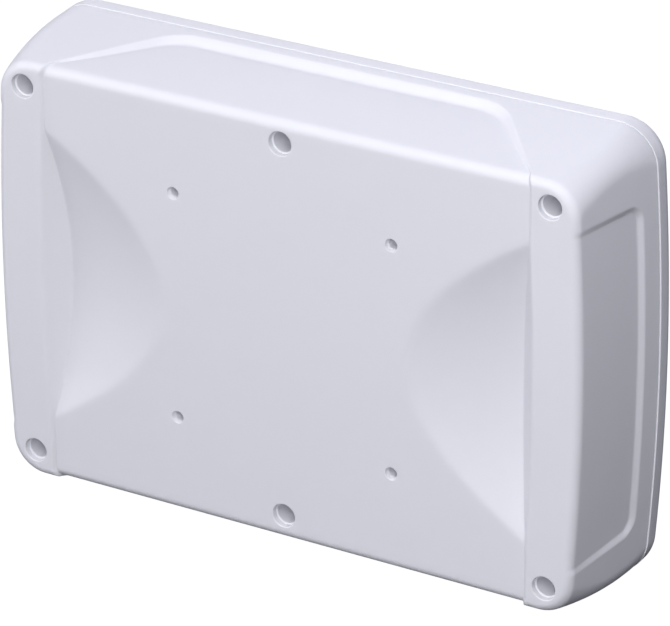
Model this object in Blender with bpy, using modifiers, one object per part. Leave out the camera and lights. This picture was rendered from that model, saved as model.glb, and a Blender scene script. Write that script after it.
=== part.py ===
"""Enclosed directional antenna: two short three-element Yagi stacks in a moulded housing.

Metres. +Y is the radiating direction, +Z is up and +X is to the right as seen from behind.
The origin is the centre of the bracket hole pattern, on the face of the rear panel.
"""

import math

import bmesh
import bpy
from mathutils import Matrix, Vector

MM = 0.001
GAP = 0.3 * MM  # left between pieces that touch

# Rear shell, measured where it meets the front cover
SEAM_Y = 38.7 * MM
SEAM_HALF_WIDTH = 106.3 * MM
SEAM_HALF_HEIGHT = 73.65 * MM
SEAM_CORNER = 12.6 * MM
END_BOW = 3.4 * MM  # the end faces bulge by this much at mid height
END_DRAFT = 0.140  # outward run of the end faces per unit of depth
TOP_DRAFT = 0.1045  # the same for the top and bottom faces
REAR_CORNER = 12.0 * MM
CORNER_SWELL = 4.3 * MM  # the corner radius is this much smaller half way to the rear
REAR_FILLET = 3.0 * MM
END_WALL = 3.0 * MM
TOP_WALL = 4.5 * MM
PANEL_WALL = 2.5 * MM

# Raised strips at both ends of the rear face, and the recess between them
STRIP_INNER_X = 83.7 * MM
STRIP_RISE = 1.0 * MM
STRIP_SLOPE = 0.84 * MM
CORE_HALF_HEIGHT = 69.1 * MM
CORE_DRAFT = 0.055
CORE_FILLET = 3.0 * MM
RECESS_FRONT_Y = 32.5 * MM
RECESS_FRONT_X = 55.0 * MM
RECESS_CORNER = 16.0 * MM
RECESS_WALL_RUN = 3.0 * MM

# Finger scallops beside the strips: a cylinder whose axis dips towards the strip
SCALLOP_RADIUS = 155.0 * MM
SCALLOP_START_X = 42.5 * MM
SCALLOP_DEPTH = 7.7 * MM
SCALLOP_WALL_DRAFT = 0.84
SCALLOP_WALL_OFFSET = 0.4 * MM  # keeps its wall off the plane of the strip's edge

# Shallow pockets in the end faces
POCKET_HALF_HEIGHT = 53.0 * MM
POCKET_FRONT_Y = 28.5 * MM
POCKET_REAR_DEPTH = 0.4 * MM
POCKET_FRONT_DEPTH = 1.0 * MM
POCKET_WALL_RUN = 1.0 * MM

# Housing screws, from the rear into brass inserts in the cover's pillars
SCREW_X = 89.8 * MM
SCREW_Z = 61.7 * MM
MOUTH_RADIUS = 4.0 * MM
MOUTH_DEPTH = 1.6 * MM
COUNTERBORE_RADIUS = 3.5 * MM
SEAT_Y = 13.5 * MM
SCREW_CLEARANCE_RADIUS = 2.2 * MM
SCREW_BOSS_RADIUS = 6.0 * MM
SCREW_BOSS_END_Y = 17.7 * MM
SCREW_HEAD_RADIUS = 3.15 * MM
SCREW_HEAD_HEIGHT = 2.8 * MM
SCREW_SHANK_RADIUS = 1.8 * MM
SCREW_END_Y = 28.0 * MM
PILLAR_RADIUS = 4.4 * MM
INSERT_RADIUS = 2.8 * MM
INSERT_LENGTH = 8.0 * MM
INSERT_START_Y = SCREW_BOSS_END_Y + 2.0 * GAP

# Bracket holes, for 4 mm thread-forming screws
BRACKET_PITCH = 75.0 * MM
BRACKET_HOLE = (0.5 * BRACKET_PITCH, 0.5 * BRACKET_PITCH)
BRACKET_MOUTH_RADIUS = 2.0 * MM
BRACKET_MOUTH_DEPTH = 1.5 * MM
BRACKET_PILOT_RADIUS = 1.6 * MM
BRACKET_PILOT_END_Y = 13.0 * MM
BRACKET_BOSS_RADIUS = 4.5 * MM
BRACKET_BOSS_END_Y = 15.0 * MM

# Front cover
COVER_PROUD = 0.4 * MM  # the cover stands this far outside the shell
COVER_FRONT_Y = 47.75 * MM
COVER_CORNER = 13.6 * MM
COVER_EDGE_RADIUS = 5.3 * MM
COVER_RIM_WALL = 4.6 * MM
COVER_FACE_WALL = 2.5 * MM
GROOVE_OUTER_INSET = 1.3 * MM
GROOVE_INNER_INSET = 3.7 * MM
GROOVE_DEPTH = 1.75 * MM

# Reflector plate on four posts of the rear shell
PLATE_HALF_WIDTH = 86.0 * MM
PLATE_HALF_HEIGHT = 54.0 * MM
PLATE_Y = 17.0 * MM
PLATE_THICKNESS = 1.2 * MM
POST_X = 60.0 * MM
POST_Z = 49.5 * MM
POST_RADIUS = 4.0 * MM
POST_PILOT_END_Y = 7.0 * MM
SMALL_PILOT_RADIUS = 1.5 * MM
SMALL_SHANK_RADIUS = 1.2 * MM
SMALL_HEAD_RADIUS = 2.8 * MM
SMALL_HEAD_HEIGHT = 2.0 * MM

# Yagi stacks: driven element and director above the reflector, slanted by 45 degrees
STACK_X = 50.0 * MM
STACK_SLANT = math.radians(45.0)
STEM_RADIUS = 7.0 * MM
FOOT_LENGTH = 36.0 * MM
FOOT_WIDTH = 16.0 * MM
FOOT_THICKNESS = 5.0 * MM
FOOT_SCREW_PITCH = 24.0 * MM
BOARD_Y = 30.8 * MM
BOARD_LENGTH = 62.0 * MM
BOARD_WIDTH = 14.0 * MM
BOARD_THICKNESS = 1.2 * MM
ARM_START = 3.6 * MM
ARM_END = 28.5 * MM
ARM_WIDTH = 8.0 * MM
ARM_THICKNESS = 0.5 * MM
SLEEVE_RADIUS = 2.8 * MM
DIRECTOR_Y = 40.5 * MM
DIRECTOR_LENGTH = 52.0 * MM
DIRECTOR_WIDTH = 8.0 * MM
DIRECTOR_THICKNESS = 1.0 * MM

# Coaxial jacks, through the bottom wall
JACK_X = 30.0 * MM
JACK_Y = 26.0 * MM
JACK_PAD_Z = -70.9 * MM
JACK_INNER_PAD_Z = -66.3 * MM
JACK_PAD_RADIUS = 6.5 * MM
JACK_INNER_PAD_RADIUS = 6.0 * MM
JACK_THREAD_RADIUS = 3.15 * MM
JACK_HOLE_RADIUS = 3.45 * MM
JACK_END_Z = -81.5 * MM
JACK_BORE_RADIUS = 2.35 * MM
JACK_FLANGE_RADIUS = 4.6 * MM
JACK_FERRULE_RADIUS = 2.0 * MM
COAX_RADIUS = 1.0 * MM

CORNER_STEPS = 7
SIDE_STEPS = 5
END_STEPS = 10
TURN_STEPS = 16
SMALL_TURN_STEPS = 12


# Scene and materials

def empty_scene():
    for item in list(bpy.data.objects):
        bpy.data.objects.remove(item, do_unlink=True)


def new_collection(name):
    collection = bpy.data.collections.new(name)
    bpy.context.scene.collection.children.link(collection)
    return collection


def make_material(name, color, roughness, metallic=0.0):
    material = bpy.data.materials.new(name)
    material.use_nodes = True
    shader = material.node_tree.nodes["Principled BSDF"]
    shader.inputs["Base Color"].default_value = (*color, 1.0)
    shader.inputs["Roughness"].default_value = roughness
    shader.inputs["Metallic"].default_value = metallic
    return material


empty_scene()
PARTS = new_collection("enclosed_yagi_antenna")
CUTTERS = new_collection("cutters")

HOUSING_WHITE = make_material("housing_white", (0.80, 0.80, 0.84), 0.45)
GASKET_BLACK = make_material("gasket_black", (0.03, 0.03, 0.03), 0.8)
STAINLESS = make_material("stainless_steel", (0.62, 0.62, 0.60), 0.3, 1.0)
BRASS = make_material("brass", (0.80, 0.60, 0.28), 0.3, 1.0)
ALUMINIUM = make_material("aluminium", (0.78, 0.79, 0.80), 0.35, 1.0)
CARRIER_PLASTIC = make_material("carrier_plastic", (0.75, 0.74, 0.68), 0.5)
NYLON = make_material("nylon", (0.85, 0.84, 0.78), 0.5)
CIRCUIT_BOARD = make_material("circuit_board", (0.10, 0.25, 0.12), 0.5)
COPPER = make_material("copper", (0.80, 0.42, 0.26), 0.3, 1.0)
GOLD_PLATE = make_material("gold_plate", (0.90, 0.70, 0.32), 0.25, 1.0)
INSULATOR_WHITE = make_material("insulator_white", (0.88, 0.88, 0.86), 0.5)
COAX_JACKET = make_material("coax_jacket", (0.45, 0.22, 0.10), 0.4)


# Mesh building

def finish(name, build, material):
    """Object from a BMesh: a part when it has a material, a cutter when it has none."""
    bmesh.ops.recalc_face_normals(build, faces=build.faces)
    mesh = bpy.data.meshes.new(name)
    build.to_mesh(mesh)
    build.free()
    return place_in_scene(name, mesh, material)


def place_in_scene(name, mesh, material):
    item = bpy.data.objects.new(name, mesh)
    if material is None:
        CUTTERS.objects.link(item)
        item.hide_render = True
        item.display_type = "WIRE"
    else:
        mesh.materials.append(material)
        PARTS.objects.link(item)
    return item


def loft(name, rings, material=None):
    """Closed solid through rings of points that share one count."""
    build = bmesh.new()
    levels = [[build.verts.new(point) for point in ring] for ring in rings]
    build.faces.new(levels[0])
    build.faces.new(reversed(levels[-1]))
    for low, high in zip(levels, levels[1:]):
        for index in range(len(low)):
            build.faces.new((low[index - 1], low[index], high[index], high[index - 1]))
    return finish(name, build, material)


def block(name, size, centre, material=None, slant=0.0):
    """Box of the given size, turned about Y by slant."""
    build = bmesh.new()
    bmesh.ops.create_cube(build, size=1.0, matrix=Matrix.Diagonal((*size, 1.0)))
    item = finish(name, build, material)
    item.location = centre
    item.rotation_euler = (0.0, slant, 0.0)
    return item


def turned(name, profile, place, material=None, facing="rear", steps=TURN_STEPS, closed=False):
    """Solid of revolution with a Screw modifier.

    profile is (radius, height) down the outer side; a closed profile comes back up a bore.
    Height runs towards the rear (-Y) of the antenna, or up (+Z).
    """
    mesh = bpy.data.meshes.new(name)
    count = len(profile)
    edges = [(index, index + 1) for index in range(count - 1)]
    if closed:
        edges.append((count - 1, 0))
    mesh.from_pydata([(radius, 0.0, height) for radius, height in profile], edges, [])
    item = place_in_scene(name, mesh, material)
    item.location = place
    item.rotation_euler = (math.pi / 2 if facing == "rear" else 0.0, 0.0, 0.0)
    screw = item.modifiers.new("Turn", "SCREW")
    screw.angle = 2.0 * math.pi
    screw.steps = steps
    screw.render_steps = steps
    screw.use_merge_vertices = True
    screw.merge_threshold = 0.00005
    screw.use_smooth_shade = True
    return item


def rod(name, radius, start, end, place, material=None, steps=TURN_STEPS, facing="rear"):
    """Plain cylinder whose height runs from start to end along its facing."""
    top = max(start, end)
    bottom = min(start, end)
    profile = [(0.0, top), (radius, top), (radius, bottom), (0.0, bottom)]
    return turned(name, profile, place, material, facing, steps)


def boolean(target, tool, operation="DIFFERENCE"):
    modifier = target.modifiers.new(operation.title() + " " + tool.name, "BOOLEAN")
    modifier.object = tool
    modifier.operation = operation
    modifier.solver = "EXACT"


def boolean_all(target, name, tools, operation="DIFFERENCE"):
    """Cut or join several tools at once, from a collection of their own."""
    group = bpy.data.collections.new(name)
    CUTTERS.children.link(group)
    for tool in tools:
        group.objects.link(tool)
        CUTTERS.objects.unlink(tool)
    modifier = target.modifiers.new(operation.title() + " " + name, "BOOLEAN")
    modifier.operand_type = "COLLECTION"
    modifier.collection = group
    modifier.operation = operation
    modifier.solver = "EXACT"


def mirrored(places):
    """The given (x, z) places in all four quadrants."""
    signs = ((-1, 1), (1, 1), (-1, -1), (1, -1))
    return [(sx * x, sz * z) for x, z in places for sx, sz in signs]


QUADRANTS = ("top_left", "top_right", "bottom_left", "bottom_right")
SIDES = (("left", -1), ("right", 1))


# Housing sections

def outline(half_width, half_height, corner):
    """Rounded rectangle of (x, z) points whose two ends bulge by END_BOW."""
    def end_x(z):
        return half_width - END_BOW * (z / SEAM_HALF_HEIGHT) ** 2

    corner_z = half_height - corner
    corner_x = end_x(corner_z) - corner
    quarter = []
    for step in range(END_STEPS // 2):
        z = corner_z * step / (END_STEPS // 2)
        quarter.append((end_x(z), z))
    for step in range(CORNER_STEPS + 1):
        angle = 0.5 * math.pi * step / CORNER_STEPS
        quarter.append((corner_x + corner * math.cos(angle), corner_z + corner * math.sin(angle)))
    left_top = [(-x, z) for x, z in reversed(quarter)]
    left_bottom = [(-x, -z) for x, z in quarter[1:]]
    right_bottom = [(x, -z) for x, z in reversed(quarter[1:])]
    return quarter + left_top + left_bottom + right_bottom


def shell_section(y, end_inset=0.0, top_inset=0.0, corner_inset=0.0):
    """Ring of the drafted shell at depth y, inset by the given amounts."""
    ahead = SEAM_Y - y
    share = ahead / (SEAM_Y + STRIP_RISE)
    corner = SEAM_CORNER + (REAR_CORNER - SEAM_CORNER) * share
    corner -= 4.0 * CORNER_SWELL * share * (1.0 - share)
    points = outline(
        SEAM_HALF_WIDTH - END_DRAFT * ahead - end_inset,
        SEAM_HALF_HEIGHT - TOP_DRAFT * ahead - top_inset,
        corner - corner_inset,
    )
    return [(x, y, z) for x, z in points]


def cover_section(y, inset):
    points = outline(
        SEAM_HALF_WIDTH + COVER_PROUD - inset,
        SEAM_HALF_HEIGHT + COVER_PROUD - inset,
        COVER_CORNER - inset,
    )
    return [(x, y, z) for x, z in points]


def arc_steps(radius, steps=5):
    """(depth, inset) pairs down a quarter-round edge, from the side wall to the face."""
    pairs = []
    for step in range(steps + 1):
        angle = 0.5 * math.pi * step / steps
        pairs.append((radius * (1.0 - math.sin(angle)), radius * (1.0 - math.cos(angle))))
    return pairs


# Rear shell

def shell_body(name, material=None, rear_depth=0.0, front_depth=0.0):
    """Outer form of the shell; the depths set it back at the rear edge and at the pockets' end."""
    rear_y = -STRIP_RISE

    def set_back(y):
        share = (y - rear_y) / (POCKET_FRONT_Y - rear_y)
        return rear_depth + (front_depth - rear_depth) * share

    seam_y = SEAM_Y - 0.5 * GAP
    fillet_y = rear_y + REAR_FILLET
    rings = []
    for step in range(SIDE_STEPS):
        y = seam_y + (fillet_y - seam_y) * step / SIDE_STEPS
        rings.append(shell_section(y, set_back(y)))
    for depth, inset in arc_steps(REAR_FILLET):
        y = rear_y + depth
        rings.append(shell_section(y, inset + set_back(y), inset, inset))
    return loft(name, rings, material)


def recess_plan(spread):
    """(x, y) outline of the space between the strips, grown by spread at its walls."""
    strip_x = STRIP_INNER_X - STRIP_SLOPE + 0.4 * spread
    front_x = RECESS_FRONT_X + 0.5 * spread
    front_y = RECESS_FRONT_Y + spread
    side = Vector((strip_x - front_x, -front_y))
    turn = math.pi - side.angle(Vector((-1.0, 0.0)))
    reach = RECESS_CORNER * math.tan(0.5 * turn)
    centre = Vector((front_x - reach, front_y - RECESS_CORNER))
    half = [(0.0, front_y)]
    for step in range(CORNER_STEPS + 1):
        angle = 0.5 * math.pi - turn * step / CORNER_STEPS
        half.append((centre.x + RECESS_CORNER * math.cos(angle),
                     centre.y + RECESS_CORNER * math.sin(angle)))
    half.append((strip_x, 0.0))
    half.append((strip_x + 2.0 * STRIP_SLOPE, -2.0 * STRIP_RISE))
    return half + [(-x, y) for x, y in reversed(half[1:])]


def centre_recess():
    """Cutter for the space between the strips and for the recesses above and below it."""
    far = SEAM_HALF_HEIGHT + 8.0 * MM
    low = CORE_HALF_HEIGHT - 1.0 * MM
    high = CORE_HALF_HEIGHT + CORE_DRAFT * RECESS_FRONT_Y + 2.3 * MM
    levels = [(-far, 1.0), (-high, 1.0), (-low, 0.0), (low, 0.0), (high, 1.0), (far, 1.0)]
    rings = []
    for z, share in levels:
        rings.append([(x, y, z) for x, y in recess_plan(share * RECESS_WALL_RUN)])
    zone = loft("recess_zone", rings)

    half = [(0.0, 0.0)]
    for step in range(CORNER_STEPS + 1):
        angle = 0.5 * math.pi * step / CORNER_STEPS
        half.append((CORE_FILLET * (1.0 - math.cos(angle)),
                     CORE_HALF_HEIGHT - CORE_FILLET * (1.0 - math.sin(angle))))
    end_y = SEAM_Y + 5.0 * MM
    half.append((end_y, CORE_HALF_HEIGHT + CORE_DRAFT * end_y))
    profile = half[1:] + [(y, -z) for y, z in reversed(half[1:])]
    reach = SEAM_HALF_WIDTH + 10.0 * MM
    core = loft("recess_core", [[(x, y, z) for y, z in profile] for x in (-reach, reach)])
    boolean(zone, core)
    return zone


def scallop(name, sign, grow=0.0):
    """Cylinder cut off along the strip, or the same grown by a wall thickness."""
    slope = math.atan2(SCALLOP_DEPTH, STRIP_INNER_X - SCALLOP_START_X)
    along = Vector((math.cos(slope), math.sin(slope), 0.0))
    outward = Vector((math.sin(slope), -math.cos(slope), 0.0))
    start = Vector((SCALLOP_START_X, 0.0, 0.0))
    length = 90.0 * MM
    centre = start + outward * SCALLOP_RADIUS + along * 0.35 * length
    build = bmesh.new()
    turn = along.to_track_quat("Z", "Y").to_matrix().to_4x4()
    bmesh.ops.create_cone(build, cap_ends=True, segments=120, depth=length,
                          radius1=SCALLOP_RADIUS + grow, radius2=SCALLOP_RADIUS + grow,
                          matrix=Matrix.Translation(centre) @ turn)
    wall_point = Vector((STRIP_INNER_X - STRIP_SLOPE + SCALLOP_WALL_OFFSET + grow, 0.0, 0.0))
    wall_normal = Vector((1.0, SCALLOP_WALL_DRAFT, 0.0)).normalized()
    cut_and_close(build, wall_point, wall_normal)
    reach = SEAM_HALF_HEIGHT - 8.0 * MM
    for side in (-1.0, 1.0):
        cut_and_close(build, Vector((0.0, 0.0, side * reach)), Vector((0.0, 0.0, side)))
    cut_and_close(build, Vector((0.0, -6.0 * MM, 0.0)), Vector((0.0, -1.0, 0.0)))
    if sign < 0:
        bmesh.ops.scale(build, vec=(-1.0, 1.0, 1.0), verts=build.verts)
    return finish(name, build, None)


def cut_and_close(build, point, normal):
    """Cut away what lies beyond a plane and close the cut."""
    geometry = build.verts[:] + build.edges[:] + build.faces[:]
    result = bmesh.ops.bisect_plane(build, geom=geometry, plane_co=point, plane_no=normal,
                                    clear_outer=True)
    rim = [item for item in result["geom_cut"] if isinstance(item, bmesh.types.BMEdge)]
    bmesh.ops.contextual_create(build, geom=rim)


def end_pocket(side, sign):
    """Shallow pocket in one end face, open to the rear."""
    inner = SEAM_HALF_WIDTH - 14.0 * MM
    outer = SEAM_HALF_WIDTH + 6.0 * MM
    floor = SEAM_HALF_WIDTH - END_DRAFT * (SEAM_Y - POCKET_FRONT_Y) - POCKET_FRONT_DEPTH
    rings = []
    for x, spread in ((inner, 0.0), (floor - 2.5 * MM, 0.0), (outer, 6.0 * POCKET_WALL_RUN)):
        half_height = POCKET_HALF_HEIGHT + spread
        front_y = POCKET_FRONT_Y + spread
        corner = 5.0 * MM
        ring = [(sign * x, -6.0 * MM, -half_height), (sign * x, -6.0 * MM, half_height)]
        for end, start_angle in ((1.0, 0.5 * math.pi), (-1.0, 0.0)):
            for step in range(5):
                angle = start_angle - 0.5 * math.pi * step / 4
                ring.append((sign * x, front_y - corner + corner * math.cos(angle),
                             end * (half_height - corner) + corner * math.sin(angle)))
        rings.append(ring)
    zone = loft("pocket_zone_" + side, rings)
    boolean(zone, SET_BACK_BODY)
    return zone


def screw_places():
    """(name, x, z, y of the rear face around the hole) for the six housing screws."""
    corners = mirrored([(SCREW_X, SCREW_Z)])
    places = [(name, x, z, -STRIP_RISE) for name, (x, z) in zip(QUADRANTS, corners)]
    places.append(("top_middle", 0.0, SCREW_Z, 0.0))
    places.append(("bottom_middle", 0.0, -SCREW_Z, 0.0))
    return places


def shell_cavity():
    """Inside of the shell: the space within the walls less the bosses, posts and scallop floors."""
    rings = []
    for step in range(SIDE_STEPS + 1):
        y = PANEL_WALL + (SEAM_Y + 5.0 * MM - PANEL_WALL) * step / SIDE_STEPS
        rings.append(shell_section(y, END_WALL, TOP_WALL, END_WALL))
    cavity = loft("shell_cavity", rings)
    kept = []
    for side, sign in SIDES:
        kept.append(scallop("scallop_floor_" + side, sign, PANEL_WALL))
        kept.append(rod("jack_inner_pad_" + side, JACK_INNER_PAD_RADIUS, JACK_INNER_PAD_Z,
                        -SEAM_HALF_HEIGHT, (sign * JACK_X, JACK_Y, 0.0), facing="up"))
    for name, x, z, _ in screw_places():
        kept.append(rod("screw_boss_" + name, SCREW_BOSS_RADIUS, 0.0, -SCREW_BOSS_END_Y,
                        (x, 0.0, z)))
    for name, (x, z) in zip(QUADRANTS, mirrored([BRACKET_HOLE])):
        kept.append(rod("bracket_boss_" + name, BRACKET_BOSS_RADIUS, 0.0, -BRACKET_BOSS_END_Y,
                        (x, 0.0, z)))
    for name, (x, z) in zip(QUADRANTS, mirrored([(POST_X, POST_Z)])):
        kept.append(rod("plate_post_" + name, POST_RADIUS, 0.0, GAP - PLATE_Y, (x, 0.0, z)))
    boolean_all(cavity, "kept_inside", kept)
    return cavity


def stepped_bore(name, x, z, face_y, mouth, pilot, end_y, through=None):
    """Hole cutter from the rear: a wide mouth, a narrower bore, then a clearance hole."""
    mouth_radius, mouth_depth = mouth
    ledge = -face_y - mouth_depth
    profile = [(0.0, 4.0 * MM), (mouth_radius, 4.0 * MM), (mouth_radius, ledge),
               (pilot, ledge - 0.4 * MM), (pilot, -end_y)]
    if through:
        radius, through_y = through
        profile += [(radius, -end_y), (radius, -through_y)]
    profile.append((0.0, profile[-1][1]))
    return turned(name, profile, (x, 0.0, z))


def rear_shell():
    shell = shell_body("rear_shell", HOUSING_WHITE)
    boolean(shell, centre_recess())
    for side, sign in SIDES:
        boolean(shell, end_pocket(side, sign))
        boolean(shell, scallop("scallop_" + side, sign))
        pad = rod("jack_pad_" + side, JACK_PAD_RADIUS, -64.0 * MM, JACK_PAD_Z,
                  (sign * JACK_X, JACK_Y, 0.0), facing="up")
        boolean(shell, pad, "UNION")
    boolean(shell, shell_cavity())
    boolean_all(shell, "shell_holes", shell_holes())


def shell_holes():
    holes = []
    for name, x, z, face_y in screw_places():
        holes.append(stepped_bore("screw_bore_" + name, x, z, face_y, (MOUTH_RADIUS, MOUTH_DEPTH),
                                  COUNTERBORE_RADIUS, SEAT_Y, (SCREW_CLEARANCE_RADIUS, 22.0 * MM)))
    for name, (x, z) in zip(QUADRANTS, mirrored([BRACKET_HOLE])):
        holes.append(stepped_bore("bracket_bore_" + name, x, z, 0.0,
                                  (BRACKET_MOUTH_RADIUS, BRACKET_MOUTH_DEPTH),
                                  BRACKET_PILOT_RADIUS, BRACKET_PILOT_END_Y))
    for name, (x, z) in zip(QUADRANTS, mirrored([(POST_X, POST_Z)])):
        holes.append(rod("post_pilot_" + name, SMALL_PILOT_RADIUS, -POST_PILOT_END_Y, -22.0 * MM,
                         (x, 0.0, z), steps=SMALL_TURN_STEPS))
    for side, sign in SIDES:
        holes.append(rod("jack_hole_" + side, JACK_HOLE_RADIUS, -60.0 * MM, -90.0 * MM,
                         (sign * JACK_X, JACK_Y, 0.0), facing="up"))
    return holes


# Front cover and seal

def front_cover():
    rear_y = SEAM_Y + 0.5 * GAP
    rings = [cover_section(rear_y, 0.0)]
    for depth, inset in arc_steps(COVER_EDGE_RADIUS, 6):
        rings.append(cover_section(COVER_FRONT_Y - depth, inset))
    cover = loft("front_cover", rings, HOUSING_WHITE)
    inside_y = COVER_FRONT_Y - COVER_FACE_WALL
    inside = [cover_section(rear_y - 3.0 * MM, COVER_RIM_WALL), cover_section(inside_y, COVER_RIM_WALL)]
    boolean(cover, loft("cover_cavity", inside))
    boolean(cover, ring_band("gasket_groove", rear_y - 3.0 * MM, rear_y + GROOVE_DEPTH,
                             GROOVE_OUTER_INSET, GROOVE_INNER_INSET))
    pillars = []
    pockets = []
    pocket_end = INSERT_START_Y + INSERT_LENGTH + GAP
    bore_end = SCREW_END_Y + 2.0 * MM
    for name, x, z, _ in screw_places():
        pillars.append(rod("pillar_" + name, PILLAR_RADIUS, -SCREW_BOSS_END_Y - GAP,
                           -COVER_FRONT_Y + 1.2 * MM, (x, 0.0, z)))
        profile = [(0.0, -10.0 * MM), (INSERT_RADIUS + GAP, -10.0 * MM),
                   (INSERT_RADIUS + GAP, -pocket_end), (SCREW_SHANK_RADIUS + GAP, -pocket_end),
                   (SCREW_SHANK_RADIUS + GAP, -bore_end), (0.0, -bore_end)]
        pockets.append(turned("insert_pocket_" + name, profile, (x, 0.0, z)))
    boolean_all(cover, "cover_pillars", pillars, "UNION")
    boolean_all(cover, "insert_pockets", pockets)


def ring_band(name, low_y, high_y, outer_inset, inner_inset, material=None):
    """Band that follows the cover's outline between two insets."""
    build = bmesh.new()
    loops = []
    for y, inset in ((low_y, outer_inset), (high_y, outer_inset), (high_y, inner_inset),
                     (low_y, inner_inset)):
        loops.append([build.verts.new(point) for point in cover_section(y, inset)])
    for index, loop in enumerate(loops):
        before = loops[index - 1]
        for step in range(len(loop)):
            build.faces.new((before[step - 1], before[step], loop[step], loop[step - 1]))
    return finish(name, build, material)


def perimeter_gasket():
    rear_y = SEAM_Y + 0.5 * GAP
    side_gap = 0.25 * MM
    ring_band("perimeter_gasket", rear_y, rear_y + GROOVE_DEPTH - GAP,
              GROOVE_OUTER_INSET + side_gap, GROOVE_INNER_INSET - side_gap, GASKET_BLACK)


def housing_fasteners():
    for name, x, z, _ in screw_places():
        screw = headed_screw("housing_screw_" + name, (x, 0.0, z), SEAT_Y - GAP, SCREW_END_Y,
                             SCREW_HEAD_RADIUS, SCREW_HEAD_HEIGHT, SCREW_SHANK_RADIUS, STAINLESS)
        socket = rod("socket_" + name, 1.6 * MM, 5.0 * MM,
                     -(SEAT_Y - GAP - SCREW_HEAD_HEIGHT + 1.6 * MM), (x, 0.0, z), steps=6)
        boolean(screw, socket)
        start = -INSERT_START_Y
        end = start - INSERT_LENGTH
        bore = SCREW_SHANK_RADIUS + GAP
        waist = INSERT_RADIUS - 0.35 * MM
        middle = 0.5 * (start + end)
        profile = [(bore, start), (INSERT_RADIUS, start), (INSERT_RADIUS, middle + 0.6 * MM),
                   (waist, middle + 0.3 * MM), (waist, middle - 0.3 * MM),
                   (INSERT_RADIUS, middle - 0.6 * MM), (INSERT_RADIUS, end), (bore, end)]
        turned("cover_insert_" + name, profile, (x, 0.0, z), BRASS, steps=SMALL_TURN_STEPS, closed=True)


def headed_screw(name, place, seat_y, end_y, head_radius, head_height, shank_radius, material,
                 head_at_rear=True):
    """Cylinder-head screw along Y, its head on the rear or on the front side of seat_y."""
    direction = 1.0 if head_at_rear else -1.0
    edge = 0.4 * MM
    top = -seat_y + direction * head_height
    profile = [(0.0, top), (head_radius - edge, top), (head_radius, top - direction * edge),
               (head_radius, -seat_y), (shank_radius, -seat_y),
               (shank_radius, -end_y + direction * edge), (shank_radius - edge, -end_y), (0.0, -end_y)]
    if not head_at_rear:
        profile.reverse()
    return turned(name, profile, place, material, steps=SMALL_TURN_STEPS)


# Reflector and Yagi stacks

def slanted(sign, along, across=0.0):
    """(x, z) of a point of a stack, along and across its elements."""
    slant = sign * STACK_SLANT
    x = sign * STACK_X + along * math.cos(slant) + across * math.sin(slant)
    return x, -along * math.sin(slant) + across * math.cos(slant)


def foot_screw_places(sign):
    return [slanted(sign, end * 0.5 * FOOT_SCREW_PITCH) for end in (-1, 1)]


def reflector_plate():
    centre = (0.0, PLATE_Y + 0.5 * PLATE_THICKNESS, 0.0)
    size = (2.0 * PLATE_HALF_WIDTH, PLATE_THICKNESS, 2.0 * PLATE_HALF_HEIGHT)
    plate = block("reflector_plate", size, centre, ALUMINIUM)
    holes = mirrored([(POST_X, POST_Z)])
    for _, sign in SIDES:
        holes += foot_screw_places(sign)
    drills = []
    for index, (x, z) in enumerate(holes):
        drills.append(rod(f"plate_hole_{index}", SMALL_PILOT_RADIUS, -10.0 * MM, -25.0 * MM,
                          (x, 0.0, z), steps=SMALL_TURN_STEPS))
    boolean_all(plate, "plate_holes", drills)


def plate_screws():
    seat_y = PLATE_Y + PLATE_THICKNESS + GAP
    for name, (x, z) in zip(QUADRANTS, mirrored([(POST_X, POST_Z)])):
        headed_screw("plate_screw_" + name, (x, 0.0, z), seat_y, POST_PILOT_END_Y + 1.5 * MM,
                     SMALL_HEAD_RADIUS, SMALL_HEAD_HEIGHT, SMALL_SHANK_RADIUS, STAINLESS,
                     head_at_rear=False)


def stack_carrier(side, sign):
    """Moulded foot and stem that hold one stack on the reflector."""
    foot_y = PLATE_Y + PLATE_THICKNESS + GAP
    place = (sign * STACK_X, 0.0, 0.0)
    foot = block("stack_carrier_" + side, (FOOT_LENGTH, FOOT_THICKNESS, FOOT_WIDTH),
                 (place[0], foot_y + 0.5 * FOOT_THICKNESS, 0.0), CARRIER_PLASTIC, sign * STACK_SLANT)
    stem = rod("stem_" + side, STEM_RADIUS, -foot_y - 1.0 * MM, -(BOARD_Y - GAP), place)
    boolean(foot, stem, "UNION")
    pilots = [rod("stem_pilot_" + side, SMALL_PILOT_RADIUS, -25.0 * MM, -40.0 * MM, place,
                  steps=SMALL_TURN_STEPS)]
    for index, (x, z) in enumerate(foot_screw_places(sign)):
        pilots.append(rod(f"foot_pilot_{side}_{index}", SMALL_PILOT_RADIUS, -10.0 * MM, -30.0 * MM,
                          (x, 0.0, z), steps=SMALL_TURN_STEPS))
        headed_screw(f"carrier_screw_{side}_{index + 1}", (x, 0.0, z), PLATE_Y - GAP,
                     foot_y + FOOT_THICKNESS - 1.0 * MM, SMALL_HEAD_RADIUS, SMALL_HEAD_HEIGHT,
                     SMALL_SHANK_RADIUS, STAINLESS)
    boolean_all(foot, "carrier_pilots_" + side, pilots)


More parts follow.
